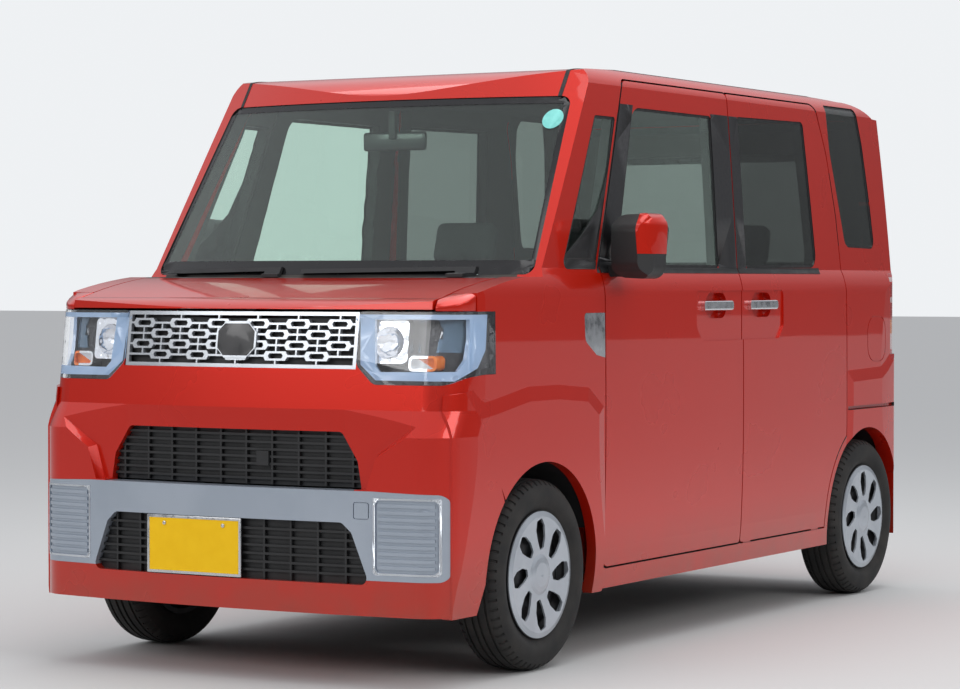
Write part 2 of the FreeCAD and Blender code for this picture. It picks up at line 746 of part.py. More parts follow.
def body_side():
    """Left pillar, sill, roof rail and quarter panel in one pressing, with its pillar posts."""
    y0 = FENDER_REAR_Y - HALF_GAP
    zone = prism_yz([
        (y0, SILL_Z - 5),
        (TAIL_Y + 5, SILL_Z - 5),
        (TAIL_Y + 5, HEIGHT + 5),
        (SCREEN_FOOT_Y - 100, HEIGHT + 5),
        (SCREEN_FOOT_Y - 100, PILLAR_FOOT_Z),
        (y0, PILLAR_FOOT_Z),
    ], ROOF_SEAM_X, SIDE)
    side = SHELL.common(zone)
    side = side.cut(block(0, ROCKER_X, -FAR, from_tail(197.5), 0, 400))
    for hole in (FRONT_DOOR_HOLE, SLIDE_HOLE, WHEEL_OPENING, screen_zone(0)):
        side = side.cut(hole)
    side = side.cut(side_zone(QUARTER_WINDOW, QUARTER_WINDOW_CORNERS))
    side = side.cut(rounded_prism_yz(REAR_QUARTER, REAR_QUARTER_CORNERS, 300, SIDE))
    side = side.cut(tailgate_zone(HALF_GAP)).cut(tail_lamp_zone(0))
    side = side.cut(block(0, SIDE, REAR_BUMPER_FRONT_Y, FAR, 0, REAR_BUMPER_TOP_Z))
    slot_x = HALF_WIDTH - RAIL_SLOT_DEPTH
    side = side.cut(block(slot_x, SIDE, SLIDE_REAR_Y + 9, from_tail(47.5), *RAIL_SLOT_Z))
    b0 = PILLAR_B_Y - 36
    b1 = PILLAR_B_Y + 36
    side = side.fuse(pillar_post(b0, b1, DOOR_POST_X, from_top(35)))
    rail = block(from_side(127.5), from_side(105.5), b0, b1, WINDOW_TOP_Z, from_top(25))
    side = side.fuse(INNER.common(rail))
    side = side.fuse(pillar_post(HINGE_POST_Y, HINGE_POST_Y + 60, HINGE_POST_X, PILLAR_FOOT_Z + 6))
    striker_x = HALF_WIDTH - WALL - 0.8 - SEAT_GAP
    side = side.fuse(block(from_side(81.5), striker_x, PILLAR_B_Y - 33, PILLAR_B_Y - 13, 900, 940))
    return largest(clean(side))


def body_sides():
    """Both sides; the left one has the fuel filler's lid, drawn by its groove."""
    plain = body_side()
    ring = rounded_prism_yz(FILLER_LID, FILLER_CORNERS, HALF_WIDTH - 5, SIDE)
    lid = inset(FILLER_LID, FILLER_GROOVE)
    ring = ring.cut(rounded_prism_yz(lid, FILLER_CORNERS - FILLER_GROOVE, HALF_WIDTH - 6, SIDE))
    return Part.makeCompound([plain.cut(ring), mirror_x(plain)])


# Doors

def door_panel(zone, window, corners, handle_y):
    """Outer skin and inner trim as one wall: its window, the sunk handle panel and the hand's cup."""
    panel = SHELL.common(zone).cut(rounded_prism_yz(window, corners, 300, SIDE))
    panel = panel.cut(rounded_prism_yz(HANDLE_PANEL, 14, HALF_WIDTH - HANDLE_PANEL_SINK, SIDE))
    y0 = handle_y[0] + HANDLE_END
    y1 = handle_y[1] - HANDLE_END
    z0 = HANDLE_Z - HANDLE_CUP_HALF
    z1 = HANDLE_Z + HANDLE_CUP_HALF
    cup = [(y0, z0), (y1, z0), (y1, z1), (y0, z1)]
    return clean(panel.cut(rounded_prism_yz(cup, 38, HALF_WIDTH - HANDLE_CUP_SINK, SIDE)))


def window_glass(points, radius):
    return largest(GLASS_SKIN.common(rounded_prism_yz(inset(points, SEAT_GAP), radius, 300, SIDE)))


def door_handle(y0, y1):
    """Pull bar whose two ends stand on the handle panel."""
    z0 = HANDLE_Z - HANDLE_HALF
    z1 = HANDLE_Z + HANDLE_HALF
    x0 = HALF_WIDTH - HANDLE_PANEL_SINK + SEAT_GAP
    bar = rounded_prism_yz([(y0, z0), (y1, z0), (y1, z1), (y0, z1)], 14, x0, HALF_WIDTH + HANDLE_OUT)
    crown = rounded_prism_xz([(x0 - 20, z0), (HALF_WIDTH + HANDLE_OUT, z0), (HALF_WIDTH + HANDLE_OUT, z1),
                              (x0 - 20, z1)], [0, 6, 6, 0], y0, y1)
    return clean(bar.common(crown))


def slide_door():
    """Sliding door with the feet that ride on the sill runner."""
    panel = door_panel(SLIDE_ZONE, SLIDE_WINDOW, SLIDE_WINDOW_CORNERS, SLIDE_HANDLE_Y)
    z0 = DOOR_BOTTOM_Z - HALF_GAP
    for y in (PILLAR_B_Y + 35, SLIDE_REAR_Y - 281):
        panel = panel.fuse(block(from_side(38), from_side(18), y, y + 60, z0, z0 + 30))
    return clean(panel)


def door_mirror():
    """Rounded housing on a stalk from the sail patch at the door's front corner."""
    x0, x1 = MIRROR_X
    y0, y1 = MIRROR_Y
    z0, z1 = MIRROR_Z
    front = [(x0, z0 + 6), (x1 - 8, z0), (x1, z1 - 30), (x1 - 22, z1), (x0, z1 - 4)]
    housing = rounded_prism_xz(front, [34, 40, 30, 24, 36], y0, y1)
    nose = [(y0, z0 + 34), (y0 + 52, z0 - 5), (y1, z0 - 5), (y1, z1 + 5), (y0 + 44, z1 + 5), (y0, z1 - 44)]
    housing = housing.common(rounded_prism_yz(nose, [40, 30, 0, 0, 30, 40], x0 - 5, x1 + 5))
    plan = [(x0 - 5, y1), (x1 + 5, y1), (x1 + 5, y0 + 60), (x1 - 40, y0), (x0 - 5, y0)]
    housing = housing.common(prism_xy(plan, z0 - 5, z1 + 5))
    stalk = block(from_side(41.5), x0 + 24, y0 + 52, y0 + 98, z0 + 8, z0 + 44).cut(OUTER)
    return clean(housing.fuse(stalk))


# Nose

def front_fender():
    rear = FENDER_REAR_Y - HALF_GAP
    zone = prism_yz([
        FENDER_SEAM[0],
        (FRONT_AXLE_Y, HUB_Z - 90),
        (rear, HUB_Z - 90),
        (rear, PILLAR_FOOT_Z),
        (FENDER_FRONT_Y, PILLAR_FOOT_Z),
        (FENDER_FRONT_Y, 868),
        FENDER_SEAM[1],
    ], BONNET_HALF + HALF_GAP, SIDE)
    fender = NOSE_SHELL.common(zone).cut(WHEEL_OPENING).cut(lamp_zone(0))
    fender = fender.cut(rounded_prism_yz(FENDER_GARNISH, FENDER_GARNISH_CORNERS, FENDER_GARNISH_X, SIDE))
    return largest(clean(fender))


def fender_garnishes():
    """Small silver trim let into the fender's rear corner on each side."""
    outline = inset(FENDER_GARNISH, SEAT_GAP)
    zone = rounded_prism_yz(outline, FENDER_GARNISH_CORNERS, FENDER_GARNISH_X + SEAT_GAP, SIDE)
    return left_right(largest(OUTER.common(zone)))


def front_bumper():
    """Bumper skin up to the bonnet's edge, open for the lamps, the grille and both air intakes."""
    top = NOSE_OPENING_Z - HALF_GAP
    zone = prism_yz([
        (NOSE_Y - 5, SILL_Z - 5),
        (BUMPER_REAR_Y, SILL_Z - 5),
        (BUMPER_REAR_Y, 450),
        FENDER_SEAM[0],
        FENDER_SEAM[1],
        (FENDER_FRONT_Y, 868),
        (FENDER_FRONT_Y, top),
        (NOSE_Y - 5, top),
    ], -SIDE, SIDE)
    shell = NOSE_SHELL.common(zone)
    lamp = lamp_zone(-SEAT_GAP)
    for hole in (WHEEL_OPENING, lamp):
        shell = shell.cut(hole).cut(mirror_x(hole))
    shell = shell.cut(rounded_prism_xz(UPPER_OPENING, OPENING_CORNERS, -FAR, NOSE_REACH_Y))
    shell = shell.cut(rounded_prism_xz(LOWER_OPENING, OPENING_CORNERS, -FAR, NOSE_REACH_Y))
    shell = shell.cut(rounded_prism_xz(GARNISH_OUTLINE, GARNISH_CORNERS, -FAR, GARNISH_REAR_Y))
    grille_x = LAMP_OUTLINE[0][0]
    shell = shell.cut(block(-grille_x, grille_x, -FAR, NOSE_REACH_Y, GRILLE_Z[0], GRILLE_Z[1] + 40))
    return largest(clean(shell))


def bumper_garnish():
    """Silver trim round the lower intake, with a ribbed pad each side and the tow eye's cover."""
    outline = inset(GARNISH_OUTLINE, SEAT_GAP)
    trim = NOSE_SHELL.common(rounded_prism_xz(outline, GARNISH_CORNERS, -FAR, GARNISH_REAR_Y - SEAT_GAP))
    trim = largest(trim.cut(rounded_prism_xz(LOWER_OPENING, OPENING_CORNERS, -FAR, NOSE_REACH_Y)))
    z0 = PAD[0][1]
    pitch = (PAD[2][1] - z0) / (PAD_RIBS + 0.5)
    grooves = rounded_prism_xz(PAD, PAD_CORNERS, -FAR, GARNISH_REAR_Y)
    for i in range(PAD_RIBS):
        rib_z = z0 + (i + 0.5) * pitch
        grooves = grooves.cut(block(PAD[0][0] + 7, PAD[1][0] - 7, -FAR, FAR, rib_z, rib_z + pitch / 2))
    ring = rounded_prism_xz(TOW_COVER, 8, -FAR, GARNISH_REAR_Y)
    ring = ring.cut(rounded_prism_xz(inset(TOW_COVER, GROOVE), 5, -FAR, GARNISH_REAR_Y))
    keep = PLAIN_OUTER.translated(V(0, PAD_DEPTH, 0))
    return clean(trim.cut(grooves.cut(keep)).cut(mirror_x(grooves).cut(keep)).cut(ring.cut(keep)))


def grille_lattice():
    """Front-view lattice: frame, level bars, hexagon rings in staggered rows and their posts."""
    z0, z1 = GRILLE_Z
    y0 = NOSE_Y - 5
    pitch_x, pitch_z = GRILLE_PITCH
    inner = block(-GRILLE_HALF + 2, GRILLE_HALF - 2, y0, NOSE_REACH_Y, z0 + 2, z1 - 2)
    middle = (z0 + z1) / 2
    solids = []
    holes = []
    for row in range(GRILLE_ROWS):
        z = middle + (row - (GRILLE_ROWS - 1) / 2) * pitch_z
        half = GRILLE_BAR / 2
        solids.append(block(-GRILLE_HALF, GRILLE_HALF, y0, NOSE_REACH_Y, z - half, z + half))
        shift = 0.5 if row % 2 else 0.0
        for k in range(-3, 4):
            x = (k + shift) * pitch_x
            if abs(x) > GRILLE_HALF - 20:
                continue
            solids.append(prism_xz(hexagon(x, z, HEX_RING), y0, NOSE_REACH_Y))
            holes.append(prism_xz(hexagon(x, z, HEX_HOLE), y0, NOSE_REACH_Y))
            post = GRILLE_POST / 2
            solids.append(block(x - post, x + post, y0, NOSE_REACH_Y, z - pitch_z, z + pitch_z))
    lattice = solids[0].fuse(solids[1:]).cut(holes).common(inner)
    frame = block(-GRILLE_HALF, GRILLE_HALF, y0, NOSE_REACH_Y, z0 + SEAT_GAP, z1)
    edge = GRILLE_FRAME
    frame = frame.cut(block(-GRILLE_HALF + edge, GRILLE_HALF - edge, y0 - 1, FAR, z0 + edge, z1 - edge))
    return frame.fuse(lattice)


def hexagon(x, z, size):
    w, h = size
    k = w / 2 - h * 0.34
    return [
        (x - w / 2, z),
        (x - k, z - h / 2),
        (x + k, z - h / 2),
        (x + w / 2, z),
        (x + k, z + h / 2),
        (x - k, z + h / 2),
    ]


def grille():
    """Bowed lattice between the lamps with a bare eight-sided plate at its centre."""
    skin = PLAIN_OUTER.translated(V(0, GRILLE_SINK, 0)).cut(PLAIN_OUTER.translated(V(0, GRILLE_DEPTH, 0)))
    w, h = BADGE_PLATE
    z = (GRILLE_Z[0] + GRILLE_Z[1]) / 2
    c = BADGE_CORNER
    w, h = w / 2, h / 2
    badge = mirrored_outline([(w - c, z - h), (w, z - h + c), (w, z + h - c), (w - c, z + h)])
    plate = prism_xz(badge, NOSE_Y - 5, NOSE_REACH_Y)
    proud = PLAIN_OUTER.cut(PLAIN_OUTER.translated(V(0, GRILLE_DEPTH, 0)))
    return largest(clean(skin.common(grille_lattice()).fuse(proud.common(plate))))


def mesh_panel(outline, opening, ribs_z):
    """Dark back plate behind an intake, wider than it, with level and upright ribs in the opening."""
    back = rounded_prism_xz(outline, OPENING_CORNERS, -FAR, NOSE_REACH_Y).common(NOSE_INNER)
    back = largest(back.cut(NOSE_INNER.translated(V(0, MESH, 0))))
    if not ribs_z:
        return back
    bars = [block(-SIDE, SIDE, -FAR, FAR, z, z + RIB_HEIGHT) for z in ribs_z]
    bars += [block(x - 3, x + 3, -FAR, FAR, 0, FAR) for x in RIB_UPRIGHTS]
    mouth = rounded_prism_xz(inset(opening, SEAT_GAP), OPENING_CORNERS, -FAR, NOSE_REACH_Y)
    mouth = mouth.common(block(-SIDE, SIDE, -FAR, 0, outline[0][1] + 2, FAR))
    skin = mouth.common(NOSE_INNER.translated(V(0, -MESH_RIB, 0))).cut(NOSE_INNER)
    return largest(clean(back.fuse(skin.common(bars[0].fuse(bars[1:])))))


def bumper_mesh():
    x = LAMP_OUTLINE[0][0]
    behind_grille = [(-x, GRILLE_Z[0] - 8), (x, GRILLE_Z[0] - 8), (x, GRILLE_Z[1] - 2), (-x, GRILLE_Z[1] - 2)]
    upper = mesh_panel(UPPER_MESH, UPPER_OPENING, UPPER_RIBS_Z)
    sx, sz, half = SENSOR
    sensor = block(sx - half, sx + half, NOSE_Y + 52, NOSE_Y + 74, sz - half, sz + half)
    upper = largest(clean(upper.fuse(sensor)))
    lower = mesh_panel(LOWER_MESH, LOWER_OPENING, LOWER_RIBS_Z)
    return Part.makeCompound([upper, lower, mesh_panel(behind_grille, None, None)])


def headlamps():
    """Lamp bodies: a bowl that faces forward, with reflector, projector ring and turn lamp in it."""
    body = GLASS_INNER.common(lamp_zone(SEAT_GAP))
    bowl = rounded_prism_xz(inset(LAMP_OUTLINE, LAMP_RIM), LAMP_RIM_CORNERS, NOSE_Y - 5, LAMP_REAR_Y - 30)
    unit = body.cut(bowl.cut(GLASS_INNER.translated(V(0, LAMP_DEPTH, 0))))
    x, z, r = PROJECTOR
    front = NOSE_Y - 5
    scoop_at, scoop_r = REFLECTOR_SCOOP
    reflector = rounded_prism_xz(REFLECTOR, 14, front, LAMP_BACK_Y).cut(Part.makeSphere(scoop_r, scoop_at))
    ring = cylinder_y(r, x, front, LAMP_BACK_Y, z).cut(cylinder_y(r - 8, x, front - 1, from_nose(150), z))
    dome = Part.makeSphere(r - 6, V(x, from_nose(158), z))
    turn = rounded_prism_xz(TURN_LAMP, 14, front, LAMP_BACK_Y)
    turn = turn.cut(rounded_prism_xz(inset(TURN_LAMP, 7), 8, front - 1, from_nose(146)))
    behind = GLASS_INNER.translated(V(0, LAMP_INSIDE_DEPTH, 0))
    inside = reflector.fuse([ring, dome, turn]).common(body).common(behind)
    return left_right(largest(clean(unit.fuse(inside))))


def headlamp_lenses():
    lens = OUTER.cut(GLASS_INNER).common(lamp_zone(SEAT_GAP))
    return left_right(largest(clean(lens)))


def bonnet_panel():
    x = BONNET_HALF - HALF_GAP
    zone = block(-x, x, -FAR, BONNET_REAR_Y - HALF_GAP, NOSE_OPENING_Z + HALF_GAP, 1300)
    return clean(NOSE_SHELL.common(zone))


def front_plate():
    """Blank plate on its bracket in front of the lower opening."""
    w, h = PLATE_SIZE
    x, z = PLATE_X, PLATE_Z
    y0 = NOSE_Y + 2
    y1 = NOSE_Y + 5
    outline = [(x - w / 2, z - h / 2), (x + w / 2, z - h / 2), (x + w / 2, z + h / 2), (x - w / 2, z + h / 2)]
    plate = rounded_prism_xz(outline, 8, y0, y1)
    for side in (-1, 1):
        bolt_x = x + side * PLATE_BOLT_SPACING / 2
        plate = plate.cut(cylinder_y(PLATE_BOLT_R, bolt_x, y0 - 1, y1 + 1, z + PLATE_BOLT_RISE))
    arm = block(x - 60, x + 60, y1, NOSE_Y + NOSE_WALL, z - 30, z + 30)
    return clean(plate.fuse(arm.cut(NOSE_INNER.translated(V(0, -MESH_RIB, 0)))))


# Roof, tail and glass

def roof_panel():
    zone = block(-ROOF_SEAM_X, ROOF_SEAM_X, -FAR, TAILGATE_TOP_Y - HALF_GAP, from_top(135), FAR)
    return clean(SHELL.common(zone).cut(screen_zone(0)))


def tailgate_panel():
    """Lift-up door with its window, the well for the rear plate and the plate's two bolt holes."""
    gate = SHELL.common(tailgate_zone(-HALF_GAP))
    gate = gate.cut(rounded_prism_xz(TAILGATE_WINDOW, TAILGATE_WINDOW_CORNERS, TAIL_REACH_Y, FAR))
    gate = largest(gate)
    half = PLATE_WELL / 2
    well = [(-half, 700), (half, 700), (half, 900), (-half, 900)]
    gate = gate.cut(rounded_prism_xz(well, 20, TAIL_Y - PLATE_WELL_DEPTH, FAR))
    for side in (-1, 1):
        x = side * PLATE_BOLT_SPACING / 2
        gate = gate.cut(cylinder_y(PLATE_BOLT_R, x, TAIL_REACH_Y, FAR, REAR_PLATE_Z + PLATE_BOLT_RISE))
    return clean(gate)


def tailgate_glass():
    outline = inset(TAILGATE_WINDOW, SEAT_GAP)
    return GLASS_SKIN.common(rounded_prism_xz(outline, TAILGATE_WINDOW_CORNERS, TAIL_REACH_Y, FAR))


def tail_lamps():
    return left_right(clean(SHELL.common(tail_lamp_zone(SEAT_GAP))))


def rear_bumper():
    zone = block(-SIDE, SIDE, REAR_BUMPER_FRONT_Y, FAR, 0, REAR_BUMPER_TOP_Z)
    shell = SHELL.common(zone).cut(tailgate_zone(HALF_GAP))
    shell = shell.cut(block(-from_side(71.5), from_side(71.5), 0, TAIL_Y - WALL - 20, 0, SILL_Z + WALL))
    shell = shell.cut(WHEEL_OPENING).cut(mirror_x(WHEEL_OPENING))
    z0 = TAILGATE_BOTTOM_Z - 20
    striker = block(-28, 28, TAIL_Y - WALL + 4, TAIL_Y - 12, z0, TAILGATE_BOTTOM_Z + HALF_GAP - SEAT_GAP)
    return clean(shell.fuse(striker))


def windscreen():
    pane = largest(GLASS_OUTER.common(SCREEN_SLAB).cut(GLASS_INNER))
    outline = inset(SCREEN_OUTLINE, SEAT_GAP)
    return pane.common(rounded_prism_xz(outline, SCREEN_CORNERS, *SCREEN_REACH))


def quarter_glass():
    front = window_glass(QUARTER_WINDOW, QUARTER_WINDOW_CORNERS)
    rear = window_glass(REAR_QUARTER, REAR_QUARTER_CORNERS)
    return Part.makeCompound([front, rear, mirror_x(front), mirror_x(rear)])


def front_wipers():
    over = envelope(-WIPER_RISE, -WIPER_RISE).cut(OUTER)
    front = BONNET_REAR_Y + 8
    blades = []
    for x0, x1 in WIPER_SPANS:
        strip = [(x0, 1176), (x1, 1184), (x1, 1196), (x0, 1190)]
        foot = [(x1 - 60, COWL_Z), (x1, COWL_Z), (x1, 1190), (x1 - 60, 1190)]
        zone = prism_xz(strip, front, COWL_BACK_Y).fuse(prism_xz(foot, front, COWL_BACK_Y))
        blades.append(largest(clean(over.common(zone))))
    return Part.makeCompound(blades)


# Under the skin

def house_drum(axle_y, radius, inner_x):
    """The space a wheelhouse takes up on the left side."""
    return cylinder_x(radius + ARCH_LINER_GAP + LINER, inner_x - LINER, SIDE, axle_y, HUB_Z)


def firewall():
    """Cowl top, the shelf under it, the bulkhead behind the engine and the two front rails."""
    x = BONNET_HALF + HALF_GAP
    cowl = largest(NOSE_SHELL.common(block(-x, x, BONNET_REAR_Y + HALF_GAP, COWL_BACK_Y, 1120, PILLAR_FOOT_Z)))
    under = COWL_Z - NOSE_WALL
    shelf_x = from_side(101.5)
    back_y = FIREWALL_Y + BULKHEAD
    shelf = block(-shelf_x, shelf_x, BONNET_REAR_Y + 10, back_y, under - 18, under).common(NOSE_INNER)
    wall = INNER.common(block(-SIDE, SIDE, FIREWALL_Y, back_y, SILL_Z + WALL, under - 18))
    drum = house_drum(FRONT_AXLE_Y, ARCH_R, FRONT_HOUSE_X)
    frame = cowl.fuse(shelf).fuse(wall.cut(drum).cut(mirror_x(drum)))
    rail = block(RAIL_X[0], RAIL_X[1], RADIATOR_Y + 40, FIREWALL_Y, *RAIL_Z)
    return clean(frame.fuse(rail).fuse(mirror_x(rail)))


def floor_pan():
    """Low cabin floor, the riser under the rear seat and the load deck between the wheelhouses."""
    low = SHELL.common(block(-ROCKER_X, ROCKER_X, FIREWALL_Y, FLOOR_STEP_Y, 0, SILL_Z + WALL))
    riser = block(-ROCKER_X, ROCKER_X, FLOOR_STEP_Y - PANEL, FLOOR_STEP_Y, SILL_Z + WALL, DECK_Z)
    deck = block(-SIDE, SIDE, FLOOR_STEP_Y, TAIL_Y, DECK_Z - PANEL, DECK_Z).common(INNER)
    pan = low.fuse(riser).fuse(deck)
    front = house_drum(FRONT_AXLE_Y, ARCH_R, FRONT_HOUSE_X)
    rear = house_drum(REAR_AXLE_Y, REAR_ARCH_R, REAR_HOUSE_X)
    for drum in (front, rear):
        pan = pan.cut(drum).cut(mirror_x(drum))
    return clean(pan)


def wheelhouse(axle_y, radius, inner_x):
    """Arched liner and its inner wall, one side."""
    gap_r = radius + ARCH_LINER_GAP
    drum = cylinder_x(gap_r + LINER, inner_x - LINER, HOUSE_OUTER_X, axle_y, HUB_Z)
    hollow = cylinder_x(gap_r, inner_x, SIDE, axle_y, HUB_Z)
    return drum.cut(hollow).common(block(0, SIDE, -FAR, FAR, SILL_Z + NOSE_WALL, FAR))


def wheelhouses():
    front = wheelhouse(FRONT_AXLE_Y, ARCH_R, FRONT_HOUSE_X).common(NOSE_INNER)
    front = largest(clean(front.cut(block(HINGE_ZONE_X, SIDE, FENDER_REAR_Y - 60, 0, 0, FAR))))
    rear = wheelhouse(REAR_AXLE_Y, REAR_ARCH_R, REAR_HOUSE_X).common(INNER)
    rear = rear.cut(block(0, SIDE, ARCH_BACK_Y, FAR, 0, REAR_BUMPER_TOP_Z))
    rear = largest(clean(rear.cut(cylinder_x(AXLE_HOLE_R, 0, REAR_HOUSE_X + 5, REAR_AXLE_Y, HUB_Z))))
    return Part.makeCompound([front, mirror_x(front), rear, mirror_x(rear)])


def engine():
    """Engine and gearbox as one block on the crossmember."""
    return block(-330, 300, from_nose(227.5), FIREWALL_Y - 46, 246, 840)


def radiator():
    """Radiator under its cross support, with the bonnet's latch post."""
    y0 = RADIATOR_Y
    y1 = RADIATOR_Y + 40
    core = block(-330, 330, y0, y1, 300, 780)
    support = block(-560, 560, y0, y1, 780, 820)
    legs = block(-RAIL_X[1], RAIL_X[1], y0, y1, RAIL_Z[0], RAIL_Z[1])
    post = block(-20, 20, y0 + 1, y0 + 9, 790, NOSE_OPENING_Z + HALF_GAP - SEAT_GAP)
    return clean(core.fuse(support).fuse(legs).fuse(post))


def exhaust():
    """Pipe, silencer with its hanger, and tail pipe."""
    box_y = from_tail(227.5)
    back_y = from_tail(97.5)
    pipe = cylinder_y(20, 160, COWL_BACK_Y, box_y + 10, 172)
    muffler = rounded_prism_xz([(-60, 160), (300, 160), (300, 300), (-60, 300)], 40, box_y, back_y)
    tail = cylinder_y(17, 240, back_y, from_tail(25.5), 180)
    hanger = block(100, 140, box_y + 30, box_y + 90, 290, DECK_Z - PANEL)
    return clean(pipe.fuse(muffler).fuse(tail).fuse(hanger))


def fuel_tank():
    outline = [(-330, 206), (330, 206), (330, DECK_Z - PANEL), (-330, DECK_Z - PANEL)]
    return rounded_prism_xz(outline, [40, 40, 0, 0], FLOOR_STEP_Y + 20, REAR_AXLE_Y - 175)


# Running gear

STUB_R = 14.0
STUB_FIT = 0.05
HUB_FACE_X = 650.0
DISC_X = 684.0
ARM_Z = (178.0, 198.0)
STRUT_X = 500.0
STRUT_R = 24.0
RACK_Y = FRONT_AXLE_Y + 80
RACK_Z = 214.0
RACK_R = 11.0
RACK_FIT = 0.1
RACK_HALF = 592.0
RACK_HOUSING_X = 240.0
TRAILING_BUSH_Y = FLOOR_STEP_Y + 45


def front_suspension():
    """Crossmember with the rack's two saddles, and on each side a lower arm with its strut."""
    y = FRONT_AXLE_Y
    lo, hi = ARM_Z
    frame = block(-300, 300, y - 110, RACK_Y - RACK_R - 14, lo, 246)
    saddle_x0 = RACK_HOUSING_X - 24
    saddle_x1 = RACK_HOUSING_X + 24
    saddle = block(saddle_x0, saddle_x1, RACK_Y - RACK_R - 14, RACK_Y + RACK_R + 8, lo, 236)
    arm = prism_xy([
        (290, y - 105),
        (290, y + 50),
        (520, y + 34),
        (598, y + 16),
        (612, y),
        (598, y - 16),
        (520, y - 34),
    ], lo, hi)
    liner_r = ARCH_R + ARCH_LINER_GAP
    strut_top = HUB_Z + math.sqrt(liner_r ** 2 - STRUT_R ** 2) - SEAT_GAP
    strut = cylinder_z(STRUT_R, STRUT_X, y, hi, strut_top)
    spring = cylinder_z(34, STRUT_X, y, 420, 610)
    tower = block(334, RAIL_X[1], y - 110, y - 60, lo, RAIL_Z[0])
    for piece in (saddle, arm, strut, spring, tower):
        frame = frame.fuse(piece).fuse(mirror_x(piece))
    return clean(frame.cut(cylinder_x(RACK_R + RACK_FIT, -320, 320, RACK_Y, RACK_Z)))


def knuckle():
    """Left hub carrier: stub axle, lower ball lug and the steering arm behind the axle."""
    y = FRONT_AXLE_Y
    body = cylinder_x(58, 588, 640, y, HUB_Z)
    stub = cylinder_x(STUB_R, 640, DISC_X - 6, y, HUB_Z)
    lug = block(KINGPIN_X - 14, KINGPIN_X + 14, y - 14, y + 14, ARM_Z[1] + SEAT_GAP, HUB_Z)
    arm = block(580, 604, y, RACK_Y + 12, RACK_Z + RACK_R + SEAT_GAP, RACK_Z + RACK_R + 16)
    return clean(body.fuse(stub).fuse(lug).fuse(arm))


def steering_rack():
    """Rack bar and tie rods; their eyes lie under the steering arms."""
    return cylinder_x(RACK_R, -RACK_HALF, RACK_HALF, RACK_Y, RACK_Z)


def rear_axle():
    """Twist beam, trailing arms with their body bushes, coil springs and stub axles."""
    y = REAR_AXLE_Y
    bush_y = TRAILING_BUSH_Y
    frame = cylinder_x(32, -500, 500, y - 120, 262)
    arm = prism_yz([
        (bush_y, 276),
        (bush_y, 324),
        (y - 20, 320),
        (y + 46, 310),
        (y + 46, 250),
        (y - 60, 236),
    ], 486, 530)
    bush = cylinder_x(28, 480, 534, bush_y, 300)
    bracket = block(486, 530, bush_y - 20, bush_y + 20, 300, DECK_Z - PANEL)
    spring = cylinder_z(46, 430, y - 50, 300, DECK_Z - PANEL)
    seat_plate = block(380, 500, y - 100, y, 286, 306)
    carrier = cylinder_x(90, 600, 640, y, HUB_Z)
    spindle = cylinder_x(30, 520, 640, y, HUB_Z)
    stub = cylinder_x(STUB_R, 640, DISC_X - 6, y, HUB_Z)
    for piece in (arm, bush, bracket, spring, seat_plate, carrier, spindle, stub):
        frame = frame.fuse(piece).fuse(mirror_x(piece))
    return clean(frame)


# Wheels

# A slot of the wheel cover, in (y, z) from the hub, and the angle at which the slots lean
COVER_SLOT = [(-13, 74), (9, 74), (24, 104), (27, 140), (16, 165), (-14, 165), (-25, 138), (-21, 104)]
COVER_SLOT_CORNERS = 7
COVER_SLOT_LEAN = 16.0


def revolve_x(wire):
    return Part.Face(wire).revolve(V(0, 0, 0), V(1, 0, 0), 360)


def revolved(points):
    """A ring about the wheel's axis from its section, given as (x, radius) points."""
    return revolve_x(Part.makePolygon([V(x, r, 0) for x, r in points + points[:1]]))


def tyre():
    """Section in (x, radius): beads, bulged sidewalls, rounded shoulders and a crowned tread."""
    half = TYRE_WIDTH / 2
    bead = BEAD_X

    def p(x, r):
        return V(x, r, 0)

    edges = [
        Part.makeLine(p(-bead - 2, FLANGE_R + 5), p(-bead, RIM_R)),
        Part.makeLine(p(-bead, RIM_R), p(bead, RIM_R)),
        Part.makeLine(p(bead, RIM_R), p(bead + 2, FLANGE_R + 5)),
        arc3(p(bead + 2, FLANGE_R + 5), p(half, 234), p(half - 14, 272)),
        arc3(p(half - 14, 272), p(half - 20, 278), p(half - 30, 281)),
        arc3(p(half - 30, 281), p(0, TYRE_R), p(-half + 30, 281)),
        arc3(p(-half + 30, 281), p(-half + 20, 278), p(-half + 14, 272)),
        arc3(p(-half + 14, 272), p(-half, 234), p(-bead - 2, FLANGE_R + 5)),
    ]
    return revolve_x(Part.Wire(edges))


